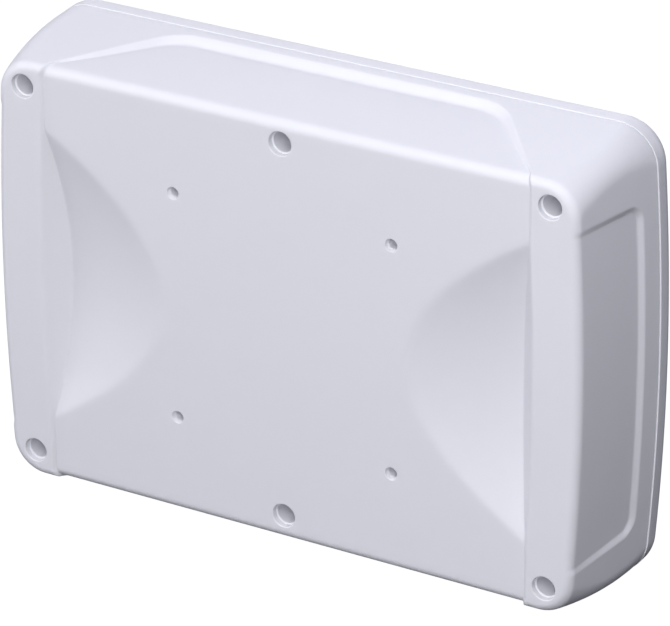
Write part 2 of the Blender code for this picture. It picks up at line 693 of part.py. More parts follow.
def stack_elements(side, sign):
    """Dipole board with its two arms, spacer sleeve, director and the screw through them."""
    slant = sign * STACK_SLANT
    place = (sign * STACK_X, 0.0, 0.0)
    board_front = BOARD_Y + BOARD_THICKNESS
    board = block("dipole_board_" + side, (BOARD_LENGTH, BOARD_THICKNESS, BOARD_WIDTH),
                  (place[0], BOARD_Y + 0.5 * BOARD_THICKNESS, 0.0), CIRCUIT_BOARD, slant)
    director = block("director_" + side, (DIRECTOR_LENGTH, DIRECTOR_THICKNESS, DIRECTOR_WIDTH),
                     (place[0], DIRECTOR_Y + 0.5 * DIRECTOR_THICKNESS, 0.0), ALUMINIUM, slant)
    for item, name in ((board, "board_hole_"), (director, "director_hole_")):
        boolean(item, rod(name + side, SMALL_PILOT_RADIUS, -25.0 * MM, -50.0 * MM, place,
                          steps=SMALL_TURN_STEPS))
    arm_y = board_front + GAP + 0.5 * ARM_THICKNESS
    for end, name in ((-1, "lower"), (1, "upper")):
        along = -end * sign * 0.5 * (ARM_START + ARM_END)
        x, z = slanted(sign, along)
        block(f"dipole_arm_{side}_{name}", (ARM_END - ARM_START, ARM_THICKNESS, ARM_WIDTH),
              (x, arm_y, z), COPPER, slant)
    start = -board_front - GAP
    end = -DIRECTOR_Y + GAP
    profile = [(SMALL_PILOT_RADIUS, start), (SLEEVE_RADIUS, start), (SLEEVE_RADIUS, end),
               (SMALL_PILOT_RADIUS, end)]
    turned("spacer_sleeve_" + side, profile, place, NYLON, steps=SMALL_TURN_STEPS, closed=True)
    headed_screw("stack_screw_" + side, place, DIRECTOR_Y + DIRECTOR_THICKNESS + GAP, 26.0 * MM,
                 SMALL_HEAD_RADIUS, SMALL_HEAD_HEIGHT, SMALL_SHANK_RADIUS, NYLON, head_at_rear=False)


# Jacks and feed cables

def coaxial_jack(side, sign):
    place = (sign * JACK_X, JACK_Y, 0.0)
    flange_low = JACK_INNER_PAD_Z + 1.7 * MM
    flange_high = flange_low + 2.2 * MM
    ferrule_top = flange_high + 6.0 * MM
    cable_bore = COAX_RADIUS + GAP
    profile = [(cable_bore, ferrule_top), (JACK_FERRULE_RADIUS, ferrule_top),
               (JACK_FERRULE_RADIUS, flange_high), (JACK_FLANGE_RADIUS, flange_high),
               (JACK_FLANGE_RADIUS, flange_low), (JACK_THREAD_RADIUS, flange_low),
               (JACK_THREAD_RADIUS, JACK_END_Z + 0.5 * MM), (JACK_THREAD_RADIUS - 0.4 * MM, JACK_END_Z),
               (JACK_BORE_RADIUS, JACK_END_Z), (JACK_BORE_RADIUS, flange_high - 1.0 * MM),
               (cable_bore, flange_high - 1.0 * MM)]
    turned("jack_body_" + side, profile, place, GOLD_PLATE, "up", closed=True)

    tube_top = flange_high - 1.0 * MM - GAP
    tube_low = JACK_END_Z + 0.3 * MM
    tube = JACK_BORE_RADIUS - GAP
    pin = 0.65 * MM
    profile = [(pin + GAP, tube_top), (tube, tube_top), (tube, tube_low), (pin + GAP, tube_low)]
    turned("jack_insulator_" + side, profile, place, INSULATOR_WHITE, "up", SMALL_TURN_STEPS, True)
    socket = 0.35 * MM
    profile = [(0.0, tube_top), (pin, tube_top), (pin, tube_low), (socket, tube_low),
               (socket, tube_low + 3.0 * MM), (0.0, tube_low + 3.0 * MM)]
    turned("jack_contact_" + side, profile, place, GOLD_PLATE, "up", 12)

    washer_top = JACK_PAD_Z - GAP
    washer_low = washer_top - 0.6 * MM
    nut_top = washer_low - GAP
    nut_low = nut_top - 2.2 * MM
    bore = JACK_THREAD_RADIUS + GAP
    profile = [(bore, washer_top), (4.6 * MM, washer_top), (4.6 * MM, washer_low), (bore, washer_low)]
    turned("jack_washer_" + side, profile, place, GOLD_PLATE, "up", TURN_STEPS, True)
    nut = rod("jack_nut_" + side, 4.6 * MM, nut_top, nut_low, place, GOLD_PLATE, 6, "up")
    boolean(nut, rod("nut_bore_" + side, bore, -60.0 * MM, -90.0 * MM, place, facing="up"))

    section = 0.55 * MM
    ring = 4.0 * MM
    middle = 0.5 * (flange_low + JACK_INNER_PAD_Z)
    profile = []
    for step in range(10):
        angle = 0.5 * math.pi - 2.0 * math.pi * step / 10
        profile.append((ring + section * math.cos(angle), middle + section * math.sin(angle)))
    turned("jack_seal_" + side, profile, place, GASKET_BLACK, "up", TURN_STEPS, True)
    return ferrule_top


def coax_cable(side, sign, ferrule_top):
    """Feed cable from the jack's ferrule to the underside of the dipole board."""
    end_x, end_z = slanted(sign, 0.0, -(STEM_RADIUS + 1.0 * MM))
    end_y = BOARD_Y - GAP - COAX_RADIUS
    start = Vector((sign * JACK_X, JACK_Y, ferrule_top - 3.0 * MM))
    end = Vector((end_x, end_y, end_z))
    climb = start + Vector((0.0, 0.0, 30.0 * MM))
    approach = end + Vector((end_x - sign * STACK_X, 0.0, end_z)).normalized() * 20.0 * MM
    points = []
    count = 14
    for step in range(count + 1):
        t = step / count
        weights = ((1 - t) ** 3, 3 * t * (1 - t) ** 2, 3 * t * t * (1 - t), t ** 3)
        spots = (start, climb, approach, end)
        points.append(sum((spot * weight for spot, weight in zip(spots, weights)), Vector()))
    straight = start + Vector((0.0, 0.0, 3.5 * MM))
    points[0] = start
    points[1] = straight
    curve = bpy.data.curves.new("coax_cable_" + side, "CURVE")
    curve.dimensions = "3D"
    curve.bevel_depth = COAX_RADIUS
    curve.bevel_resolution = 2
    curve.use_fill_caps = True
    spline = curve.splines.new("POLY")
    spline.points.add(len(points) - 1)
    for target, point in zip(spline.points, points):
        target.co = (*point, 1.0)
    cable = bpy.data.objects.new("coax_cable_" + side, curve)
    curve.materials.append(COAX_JACKET)
    PARTS.objects.link(cable)


SET_BACK_BODY = shell_body("set_back_body", None, POCKET_REAR_DEPTH, POCKET_FRONT_DEPTH)
rear_shell()
front_cover()
perimeter_gasket()
housing_fasteners()
reflector_plate()
plate_screws()
for stack_side, stack_sign in SIDES:
    stack_carrier(stack_side, stack_sign)
    stack_elements(stack_side, stack_sign)
    cable_start = coaxial_jack(stack_side, stack_sign)
    coax_cable(stack_side, stack_sign, cable_start)
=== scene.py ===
import math

import bmesh
import bpy
import numpy as np
from mathutils import Matrix, Vector


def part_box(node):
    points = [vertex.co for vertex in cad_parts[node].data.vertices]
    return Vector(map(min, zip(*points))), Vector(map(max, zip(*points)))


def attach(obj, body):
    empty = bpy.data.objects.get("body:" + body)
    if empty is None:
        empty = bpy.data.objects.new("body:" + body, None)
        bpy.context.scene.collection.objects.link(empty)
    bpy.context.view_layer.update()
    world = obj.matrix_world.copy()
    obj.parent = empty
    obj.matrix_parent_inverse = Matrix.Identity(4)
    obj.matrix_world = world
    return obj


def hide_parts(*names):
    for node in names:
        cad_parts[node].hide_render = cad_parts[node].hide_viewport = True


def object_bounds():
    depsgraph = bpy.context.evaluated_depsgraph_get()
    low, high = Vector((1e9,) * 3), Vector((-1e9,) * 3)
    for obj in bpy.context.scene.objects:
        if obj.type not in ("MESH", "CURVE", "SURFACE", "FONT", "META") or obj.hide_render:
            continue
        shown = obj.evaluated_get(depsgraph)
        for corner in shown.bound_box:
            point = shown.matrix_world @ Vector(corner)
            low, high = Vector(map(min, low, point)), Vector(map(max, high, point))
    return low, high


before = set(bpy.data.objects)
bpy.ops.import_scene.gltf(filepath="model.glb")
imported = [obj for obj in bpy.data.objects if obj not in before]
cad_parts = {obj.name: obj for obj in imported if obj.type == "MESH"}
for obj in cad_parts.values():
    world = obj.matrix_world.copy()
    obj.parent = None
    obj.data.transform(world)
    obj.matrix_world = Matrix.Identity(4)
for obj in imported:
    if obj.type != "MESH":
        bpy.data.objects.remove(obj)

CAD_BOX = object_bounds()
MM = 0.001
SIDES = (("left", -1), ("right", 1))
CORNERS = (("top_left", -1, 1), ("top_right", 1, 1), ("bottom_left", -1, -1), ("bottom_right", 1, -1))
SCREWS = (("top_left", -1, 1), ("top_middle", 0, 1), ("top_right", 1, 1),
          ("bottom_left", -1, -1), ("bottom_middle", 0, -1), ("bottom_right", 1, -1))

# Housing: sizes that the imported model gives
SHELL_LOW, SHELL_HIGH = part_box("rear_shell")
COVER_FRONT_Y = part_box("front_cover")[1].y
REAR_Y = SHELL_LOW.y  # rear face of the end strips; the panel between them is at y = 0
RIM_Y = SHELL_HIGH.y
HALF_GAP = 0.15 * MM  # the model leaves twice this between the rim and the cover
SEAM_Y = RIM_Y + HALF_GAP
COVER_REAR_Y = SEAM_Y + HALF_GAP
SEAM_HALF_WIDTH = SHELL_HIGH.x
SEAM_HALF_HEIGHT = SHELL_HIGH.z

# Housing: drafts and roundings
END_BOW = 3.4 * MM
END_DRAFT = 0.140
TOP_DRAFT = 0.1045
BOTTOM_DRAFT = 0.092
SEAM_CORNER = 12.6 * MM
REAR_CORNER = 12.0 * MM
CORNER_SWELL = 4.3 * MM
REAR_FILLET = 2.8 * MM
SEAM_LIP = 0.22 * MM
SEAM_GAP = 0.06 * MM
HOUSING_WALL = 1.15 * MM  # at the seam, where the two halves meet

# Panel between the strips, and the recess that it carries on into at the top and bottom
CORE_TOP = 69.05 * MM
CORE_BOTTOM = 69.6 * MM
CORE_DRAFT = 0.055
CORE_FILLET = 3.3 * MM
CORE_FADE = 11.0 * MM  # over this depth the panel's levels come level with the strips'
RECESS_FRONT_Y = 32.5 * MM
RECESS_FRONT_X = 55.0 * MM
RECESS_CORNER = 16.0 * MM
RECESS_WALL_ANGLE = math.radians(40.0)
RECESS_FLOOR_FILLET = 2.6 * MM
RECESS_EDGE_FILLET = 0.7 * MM
RECESS_LEAST_DEPTH = 0.3 * MM
RECESS_REACH = 10.0 * MM  # farther than this from the recess's floor, the face is plain

# Edge of the strips, and the scallops beside it
STRIP_EDGE_X = 83.7 * MM
STRIP_EDGE_BOW = 1.2 * MM
STRIP_WALL_ANGLE = math.radians(50.0)
STRIP_EDGE_FILLET = 1.4 * MM
STRIP_EDGE_FILLET_GROWTH = 1.1 * MM
STRIP_FOOT_FILLET = 0.3 * MM
STRIP_FOOT_GROWTH = 0.09  # per unit of the foot's depth
SCALLOP_START_X = 42.5 * MM
SCALLOP_SLOPE = 0.187
SCALLOP_SPREAD = 0.0172 / MM  # |x| of the scallop's outline grows by this times z squared
SCALLOP_BLEND = 0.40 * MM
SCALLOP_HALF_HEIGHT = 48.5 * MM

# Pockets in the ends
POCKET_HALF_HEIGHT = 53.7 * MM  # at the rear; it narrows towards the front
POCKET_TAPER = 0.055
POCKET_FRONT_Y = 29.0 * MM
POCKET_REAR_DEPTH = 0.4 * MM
POCKET_FRONT_DEPTH = 1.0 * MM
POCKET_SIDE_RUN = 1.9 * MM
POCKET_FRONT_RUN = 2.1 * MM
POCKET_CORNER = 2.0  # in units of the runs, as is the next one
POCKET_BLEND = 0.12


# Small numeric helpers

def soft_positive(value, blend):
    """max(value, 0), rounded within blend of zero."""
    middle = (value + blend) ** 2 / (4.0 * blend)
    return np.where(value <= -blend, 0.0, np.where(value >= blend, value, middle))


def soft_positive_slope(value, blend):
    return np.clip((value + blend) / (2.0 * blend), 0.0, 1.0)


def spread_steps(start, end, step):
    """Evenly spaced values from start up to, not including, end."""
    count = max(1, int(round((end - start) / step)))
    return [start + (end - start) * index / count for index in range(count)]


def half_width(y):
    return SEAM_HALF_WIDTH - END_DRAFT * (SEAM_Y - y)


def half_height(y, sign):
    draft = TOP_DRAFT if sign > 0 else BOTTOM_DRAFT
    return SEAM_HALF_HEIGHT - draft * (SEAM_Y - y)


def corner_radius(y):
    share = (SEAM_Y - y) / (SEAM_Y - REAR_Y)
    swell = 4.0 * CORNER_SWELL * share * (1.0 - share)
    return SEAM_CORNER + (REAR_CORNER - SEAM_CORNER) * share - swell


def end_x(width, z):
    """The bowed end's x at height z."""
    return width - END_BOW * (z / SEAM_HALF_HEIGHT) ** 2


def corner_frame(width, height, radius):
    """Centre and first angle of a corner arc that is tangent to the bowed end and the flat top."""
    centre_z = height - radius
    angle = 0.0
    for _ in range(4):  # the angle settles in a few rounds
        touch_z = centre_z + radius * math.sin(angle)
        angle = math.atan(2.0 * END_BOW * touch_z / SEAM_HALF_HEIGHT ** 2)
    centre_x = end_x(width, touch_z) - radius * math.cos(angle)
    return centre_x, centre_z, angle


class Ring:
    """One level of the housing's wall: its y, its sizes and its four corner arcs."""

    def __init__(self, y, width, top, bottom, radius, share=1.0):
        self.y = y
        self.width = width
        self.height = {1: top, -1: bottom}
        self.radius = radius
        self.share = share  # 0 at the rear face, 1 from the end of the rear fillet on
        self.corner = {s: corner_frame(width, self.height[s], radius) for s in (1, -1)}

    def arc(self, sign, angle):
        centre_x, centre_z, _ = self.corner[sign]
        return (centre_x + self.radius * np.cos(angle), centre_z + self.radius * np.sin(angle))


# Rear shell: levels from the rear face to the seam

FILLET_STEPS = 8
FILLET_END = math.radians(83.0)
FILLET_END_Y = REAR_Y + REAR_FILLET * (1.0 - math.cos(FILLET_END))
DIAGONAL = 0.25 * math.pi

# Levels past the rear fillet, in millimetres, closest together where the recess and the pockets end
WALL_LEVELS = [2.0, 2.8, 3.8, 5.0, 6.5] + spread_steps(8.0, 26.0, 2.0) + [25.5]
WALL_LEVELS += spread_steps(26.6, 36.6, 0.42) + [36.9, 37.4, 38.0]

# Rounded lip at the seam: shares of SEAM_LIP that a level is set in, and that it is short of the end
LIP_SHARES = ((0.0, 1.0), (0.07, 0.62), (0.3, 0.3), (0.62, 0.07), (1.0, 0.0))


def shell_rings():
    """The levels of the rear shell: rear fillet, drafted wall and the lip at the seam."""
    rings = []
    reach = REAR_FILLET * math.sin(FILLET_END)
    for step in range(FILLET_STEPS + 1):
        angle = FILLET_END * step / FILLET_STEPS
        y = REAR_Y + REAR_FILLET * (1.0 - math.cos(angle))
        back = reach - REAR_FILLET * math.sin(angle)
        width = half_width(FILLET_END_Y) - back
        top = half_height(FILLET_END_Y, 1) - back
        bottom = half_height(FILLET_END_Y, -1) - back
        rings.append(Ring(y, width, top, bottom, corner_radius(y) - back, step / FILLET_STEPS))
    for level in WALL_LEVELS:
        y = level * MM
        rings.append(Ring(y, half_width(y), half_height(y, 1), half_height(y, -1), corner_radius(y)))
    lip_y = SEAM_Y - SEAM_GAP
    for back, ahead in LIP_SHARES:
        y = lip_y - SEAM_LIP * ahead
        inset = SEAM_LIP * back
        rings.append(Ring(y, half_width(y) - inset, half_height(y, 1) - inset,
                          half_height(y, -1) - inset, corner_radius(y) - inset))
    return rings


# Wall of the strips and scallops, across the rear face

WALL_FOOT_STEPS = 5
WALL_FLAT_STEPS = 4
WALL_EDGE_STEPS = 6


def scallop_raw(x, z):
    """Depth of the scallop's sloping floor, negative where the flat panel is."""
    return SCALLOP_SLOPE * (x - SCALLOP_START_X - SCALLOP_SPREAD * z ** 2)


def panel_y(x, z):
    """Depth of the panel and its scallop at |x| and z, without the strip."""
    return soft_positive(scallop_raw(x, z), SCALLOP_BLEND)


def middle_share(z):
    """1 at mid height, falling to 0 at the ends of the scallop."""
    return max(0.0, 1.0 - (z / SCALLOP_HALF_HEIGHT) ** 2)


def strip_edge_x(z):
    """|x| where the wall's plane would meet the strip's face."""
    return STRIP_EDGE_X + STRIP_EDGE_BOW * middle_share(z)


def strip_wall(z):
    """(x, y) of each wall column, from the panel's side to the strip's, for one height z."""
    edge_x = strip_edge_x(z)
    tangent = math.tan(STRIP_WALL_ANGLE)
    x = edge_x - 1.0 * MM
    for _ in range(8):  # Newton's method for the place where the wall meets the floor
        gap = float(panel_y(x, z)) - (REAR_Y + (edge_x - x) * tangent)
        slope = SCALLOP_SLOPE * float(soft_positive_slope(scallop_raw(x, z), SCALLOP_BLEND))
        x -= gap / (slope + tangent)
    foot = Vector((x, float(panel_y(x, z))))
    lean = math.atan(slope)
    foot_radius = STRIP_FOOT_FILLET + STRIP_FOOT_GROWTH * foot.y
    edge_radius = STRIP_EDGE_FILLET + STRIP_EDGE_FILLET_GROWTH * middle_share(z)
    foot_reach = foot_radius * math.tan(0.5 * (STRIP_WALL_ANGLE + lean))
    edge_reach = edge_radius * math.tan(0.5 * STRIP_WALL_ANGLE)
    start = foot - foot_reach * Vector((math.cos(lean), math.sin(lean)))
    end = Vector((edge_x + edge_reach, REAR_Y))
    points = []
    for step in range(WALL_FOOT_STEPS + 1):
        turn = lean - (lean + STRIP_WALL_ANGLE) * step / WALL_FOOT_STEPS
        points.append(start + foot_radius * Vector((math.sin(lean) - math.sin(turn),
                                                     math.cos(turn) - math.cos(lean))))
    edge_points = []
    for step in range(WALL_EDGE_STEPS + 1):
        turn = -STRIP_WALL_ANGLE * (1.0 - step / WALL_EDGE_STEPS)
        edge_points.append(end + edge_radius * Vector((math.sin(turn), 1.0 - math.cos(turn))))
    low = points[-1]
    high = edge_points[0]
    for step in range(1, WALL_FLAT_STEPS):
        points.append(low.lerp(high, step / WALL_FLAT_STEPS))
    return points + edge_points


# Recess in the top and bottom faces

FLOOR_CORNER_X = RECESS_FRONT_X
FLOOR_REAR_X = STRIP_EDGE_X + REAR_Y / math.tan(STRIP_WALL_ANGLE)
SIDE_NORMAL = Vector((RECESS_FRONT_Y, FLOOR_REAR_X - FLOOR_CORNER_X)).normalized()
SIDE_ANGLE = math.atan2(SIDE_NORMAL.y, SIDE_NORMAL.x)
ARC_REACH = RECESS_CORNER * math.tan(0.5 * (0.5 * math.pi - SIDE_ANGLE))
ARC_CENTRE = Vector((FLOOR_CORNER_X - ARC_REACH, RECESS_FRONT_Y - RECESS_CORNER))
ARC_SPLIT = math.radians(64.0)


def recess_distance(x, y):
    """Distance outwards from the outline of the recess's floor, for |x|."""
    along_x = x - ARC_CENTRE.x
    along_y = y - ARC_CENTRE.y
    side = along_x * SIDE_NORMAL.x + along_y * SIDE_NORMAL.y
    angle = np.arctan2(along_y, along_x)
    in_corner = (angle > SIDE_ANGLE) & (angle < 0.5 * math.pi) & (along_x > 0.0)
    straight = np.maximum(side, along_y)
    return np.where(in_corner, np.hypot(along_x, along_y), straight) - RECESS_CORNER


def recess_side_x(distance, y):
    """|x| of the line at that distance outside the floor's outline; past ARC_SPLIT it stays put."""
    radius = RECESS_CORNER + distance
    angle = math.asin(max(-1.0, min(1.0, (y - ARC_CENTRE.y) / radius)))
    if angle <= SIDE_ANGLE:
        reach = radius - (y - ARC_CENTRE.y) * SIDE_NORMAL.y
        return ARC_CENTRE.x + reach / SIDE_NORMAL.x
    return ARC_CENTRE.x + radius * math.cos(min(angle, ARC_SPLIT))


def recess_wall_limits(depth):
    """The wall's run, the radii of its two fillets, and how far each fillet goes past the wall."""
    run = depth / math.tan(RECESS_WALL_ANGLE)
    half = math.tan(0.5 * RECESS_WALL_ANGLE)
    floor_fillet = np.minimum(RECESS_FLOOR_FILLET, 0.9 * depth)
    edge_fillet = np.minimum(RECESS_EDGE_FILLET, 0.7 * depth)
    return run, floor_fillet, edge_fillet, floor_fillet * half, edge_fillet * half


def recess_share(distance, depth):
    """1 on the recess's floor, 0 on the face around it, and the wall's profile between."""
    run, floor_fillet, edge_fillet, floor_reach, edge_reach = recess_wall_limits(depth)
    sine = math.sin(RECESS_WALL_ANGLE)
    into = np.clip(distance + floor_reach, 0.0, floor_fillet * sine)
    rise_low = floor_fillet - np.sqrt(floor_fillet ** 2 - into ** 2)
    left = np.clip(run + edge_reach - distance, 0.0, edge_fillet * sine)
    rise_high = depth - (edge_fillet - np.sqrt(edge_fillet ** 2 - left ** 2))
    flat = distance * math.tan(RECESS_WALL_ANGLE)
    rise = np.where(distance < -floor_reach + floor_fillet * sine, rise_low,
                    np.where(distance > run + edge_reach - edge_fillet * sine, rise_high, flat))
    return 1.0 - rise / depth


def recess_columns(depth):
    """Distances at which the wall's columns cross it."""
    run, floor_fillet, edge_fillet, floor_reach, edge_reach = recess_wall_limits(depth)
    sine = math.sin(RECESS_WALL_ANGLE)
    low = -floor_reach + floor_fillet * sine
    high = run + edge_reach - edge_fillet * sine
    values = [-floor_reach + (low + floor_reach) * step / WALL_FOOT_STEPS
              for step in range(WALL_FOOT_STEPS + 1)]
    values += [low + (high - low) * step / WALL_FLAT_STEPS for step in range(1, WALL_FLAT_STEPS)]
    values += [high + (run + edge_reach - high) * step / WALL_EDGE_STEPS
               for step in range(WALL_EDGE_STEPS + 1)]
    return values


def core_height(sign):
    return CORE_TOP if sign > 0 else CORE_BOTTOM


def core_point(ring, sign):
    """(y, z) of the panel's own profile at this level: rear face, fillet, then drafted floor."""
    end_angle = 0.5 * math.pi - math.atan(CORE_DRAFT)
    end_y = CORE_FILLET * (1.0 - math.cos(end_angle))
    end_z = core_height(sign) + CORE_DRAFT * end_y
    if ring.share < 1.0:
        angle = end_angle * ring.share
        return (CORE_FILLET * (1.0 - math.cos(angle)),
                end_z - CORE_FILLET * (math.sin(end_angle) - math.sin(angle)))
    fade = max(0.0, 1.0 - (ring.y - FILLET_END_Y) / CORE_FADE)
    y = ring.y + (end_y - FILLET_END_Y) * fade
    return y, core_height(sign) + CORE_DRAFT * y


# Pockets in the ends

def pocket_depth(y, z):
    """How far the end face is set back at depth y and height z."""
    share = np.clip((y - REAR_Y) / (POCKET_FRONT_Y - REAR_Y), 0.0, 1.2)
    depth = POCKET_REAR_DEPTH + (POCKET_FRONT_DEPTH - POCKET_REAR_DEPTH) * share
    half = POCKET_HALF_HEIGHT - POCKET_TAPER * (y - REAR_Y)
    side = (np.abs(z) - half) / POCKET_SIDE_RUN + POCKET_CORNER
    front = (y - POCKET_FRONT_Y) / POCKET_FRONT_RUN + POCKET_CORNER
    outward = np.hypot(np.maximum(side, 0.0), np.maximum(front, 0.0))
    distance = np.where((side > 0.0) & (front > 0.0), outward, np.maximum(side, front))
    distance = distance - POCKET_CORNER
    ramp = soft_positive(distance, POCKET_BLEND) - soft_positive(distance - 1.0, POCKET_BLEND)
    return depth * (1.0 - ramp)


# Rear shell: the grid

CORE_COLUMNS = spread_steps(0.0, 40.0, 3.1) + spread_steps(40.0, 80.4, 0.95)
CORE_COLUMNS += [80.4, 81.0, 81.5, 81.8]
CORE_SHARES = [value / 82.0 for value in CORE_COLUMNS]
STRIP_SHARES = (0.35, 0.7)
ARC_STEPS = 8
FLAT_ROWS = [value * MM for value in spread_steps(0.0, 49.0, 1.0) + spread_steps(49.0, 51.4, 0.6)
             + spread_steps(51.4, 56.6, 0.35) + [56.6]]
ROW_SHARES = (0.4, 0.8)


def column_half(ring, sign):
    """|x| and the panel's share of each column over one half of the top or bottom at a level."""
    if ring.share < 1.0:
        z = ring.corner[sign][1] + ring.radius
        wall = strip_wall(z)
        rear_x = [point.x for point in wall]
        rear_share = [(point.y - REAR_Y) / -REAR_Y for point in wall]
    if ring.share > 0.0:
        y = max(ring.y, REAR_Y + REAR_FILLET)
        face = half_height(y, sign)
        depth = face - core_height(sign) - CORE_DRAFT * y
        distances = recess_columns(depth)
        front_x = [recess_side_x(distance, y) for distance in distances]
        front_share = [float(recess_share(distance, depth)) for distance in distances]
    if ring.share == 0.0:
        wall_x, shares = rear_x, rear_share
    elif ring.share < 1.0:
        wall_x = [a + (b - a) * ring.share for a, b in zip(rear_x, front_x)]
        shares = [a + (b - a) * ring.share for a, b in zip(rear_share, front_share)]
    else:
        wall_x, shares = front_x, None
    xs = [share * wall_x[0] for share in CORE_SHARES] + wall_x
    corner_x = ring.corner[sign][0]
    xs += [wall_x[-1] + (corner_x - wall_x[-1]) * share for share in STRIP_SHARES] + [corner_x]
    if shares is not None:
        shares = [1.0] * len(CORE_SHARES) + shares + [0.0] * (len(STRIP_SHARES) + 1)
    return np.array(xs), shares


def face_points(ring, sign):
    """Points over half of the top or bottom of a level, from the middle to the corner's diagonal."""
    xs, shares = column_half(ring, sign)
    core_y, core_z = core_point(ring, sign)
    height = ring.height[sign]
    if shares is None:
        depth = height - core_z
        shares = recess_share(recess_distance(xs, ring.y), max(depth, RECESS_LEAST_DEPTH))
        shares = np.where(xs > recess_side_x(RECESS_REACH, ring.y), 0.0, shares)
    shares = np.array(shares)
    ys = ring.y + (core_y - ring.y) * shares
    zs = height + (core_z - height) * shares
    angles = 0.5 * math.pi - (0.5 * math.pi - DIAGONAL) * np.arange(1, ARC_STEPS + 1) / ARC_STEPS
    arc_x, arc_z = ring.arc(sign, angles)
    xs = np.concatenate([xs, arc_x])
    ys = np.concatenate([ys, np.full(ARC_STEPS, ring.y)])
    zs = np.concatenate([zs, arc_z])
    return xs, ys, sign * zs


def end_points(ring, sign):
    """Points over half of one end of a level, from the middle to the corner's diagonal."""
    first = ring.corner[sign][2]
    touch_z = ring.corner[sign][1] + ring.radius * math.sin(first)
    zs = list(FLAT_ROWS)
    zs += [zs[-1] + (touch_z - zs[-1]) * share for share in ROW_SHARES] + [touch_z]
    zs = np.array(zs)
    xs = end_x(ring.width, zs)
    angles = first + (DIAGONAL - first) * np.arange(1, ARC_STEPS + 1) / ARC_STEPS
    arc_x, arc_z = ring.arc(sign, angles)
    xs = np.concatenate([xs, arc_x])
    zs = np.concatenate([zs, arc_z])
    return xs - pocket_depth(ring.y, zs), sign * zs


def both_halves(positive, negative):
    """One run of values from the negative end, through the middle once, to the positive end."""
    return np.concatenate([negative[:0:-1], positive])


def ring_sides(ring):
    """The four runs of points of a level: top and bottom run to +x, the ends run up."""
    runs = {}
    for sign, name in ((1, "top"), (-1, "bottom")):
        xs, ys, zs = face_points(ring, sign)
        runs[name] = np.stack([both_halves(xs, -xs), both_halves(ys, ys), both_halves(zs, zs)], axis=1)
    up_x, up_z = end_points(ring, 1)
    down_x, down_z = end_points(ring, -1)
    xs = both_halves(up_x, down_x)
    zs = both_halves(up_z, down_z)
    ys = np.full(len(xs), ring.y)
    runs["right"] = np.stack([xs, ys, zs], axis=1)
    runs["left"] = np.stack([-xs, ys, zs], axis=1)
    return runs


def rear_face(ring, runs):
    """Grid of points over the rear face, rows from low to high, columns from left to right."""
    rows = runs["right"][:, 2]
    right_x = runs["right"][:, 0]
    count = (len(runs["top"]) - 1) // 2
    half_shares = len(CORE_SHARES)
    grid = np.zeros((len(rows), 2 * count + 1, 3))
    for j, level in enumerate(rows):
        sign = 1 if level >= 0.0 else -1
        corner_x, corner_z, _ = ring.corner[sign]
        diagonal_x = corner_x + ring.radius * math.cos(DIAGONAL)
        diagonal_z = corner_z + ring.radius * math.sin(DIAGONAL)
        top = runs["top" if sign > 0 else "bottom"][count:]
        upward = max(0.0, (abs(level) - corner_z) / (diagonal_z - corner_z))
        lift = np.abs(top[:, 2]) - diagonal_z
        heights = abs(level) + upward * lift
        wall_height = heights[half_shares]
        if j in (0, len(rows) - 1):
            grid[j, count:] = top
            grid[j, :count] = top[:0:-1] * np.array([-1.0, 1.0, 1.0])
            continue
        wall = strip_wall(float(wall_height))
        wall_x = np.array([point.x for point in wall])
        wall_y = np.array([point.y for point in wall])
        core_x = np.array(CORE_SHARES) * wall_x[0]
        strip_x = wall_x[-1] + (corner_x - wall_x[-1]) * np.array(STRIP_SHARES + (1.0,))
        arc_x = top[-ARC_STEPS:, 0]
        outward = (arc_x - corner_x) / (diagonal_x - corner_x)
        arc_x = arc_x + outward * (right_x[j] - diagonal_x)
        xs = np.concatenate([core_x, wall_x, strip_x, arc_x])
        ys = np.concatenate([panel_y(core_x, heights[:half_shares]), wall_y,
                             np.full(len(strip_x) + ARC_STEPS, REAR_Y)])
        zs = sign * heights
        grid[j, count:] = np.stack([xs, ys, zs], axis=1)
        grid[j, :count] = grid[j, :count:-1] * np.array([-1.0, 1.0, 1.0])
    grid[:, 0] = runs["left"]
    grid[:, -1] = runs["right"]
    return grid


WELD = 0.002 * MM


def weld_grid(build, known, points):
    """Vertices for a grid of points, reusing those that lie in the same place."""
    result = []
    for row in points:
        line = []
        for point in row:
            key = tuple(np.round(point / WELD).astype(int))
            if key not in known:
                known[key] = build.verts.new(point)
            line.append(known[key])
        result.append(line)
    return result


def add_face(build, verts):
    """Face through vertices that may name the same one twice."""
    corners = list(dict.fromkeys(verts))
    if len(corners) > 2:
        build.faces.new(corners)


def add_quads(build, grid):
    for low, high in zip(grid, grid[1:]):
        for verts in zip(low, low[1:], high[1:], high):
            add_face(build, verts)


def add_bands(build, rings, closed=False):
    """Faces between rings of vertices; a ring may be one point, and closed joins the last to the first."""
    for low, high in zip(rings, rings[1:] + rings[:1] if closed else rings[1:]):
        for index in range(max(len(low), len(high))):
            places = ((low, index - 1), (low, index), (high, index), (high, index - 1))
            add_face(build, [ring[at % len(ring)] for ring, at in places])


def ring_loop(runs):
    """One closed loop of points around a level."""
    return np.concatenate([runs["top"][:-1], runs["right"][:0:-1], runs["bottom"][:0:-1],
                           runs["left"][:-1]])


SMOOTH_ANGLE = 32.0  # degrees; a steeper edge is sharp


def link(item):
    bpy.context.scene.collection.objects.link(item)
    return item


def new_piece(name, build, smooth_angle=SMOOTH_ANGLE):
    """Object from a closed bmesh, shaded smooth between its sharp edges."""
    bmesh.ops.recalc_face_normals(build, faces=build.faces)
    mesh = bpy.data.meshes.new(name)
    build.to_mesh(mesh)
    build.free()
    mesh.shade_smooth()
    mesh.set_sharp_from_angle(angle=math.radians(smooth_angle))
    return link(bpy.data.objects.new(name, mesh))


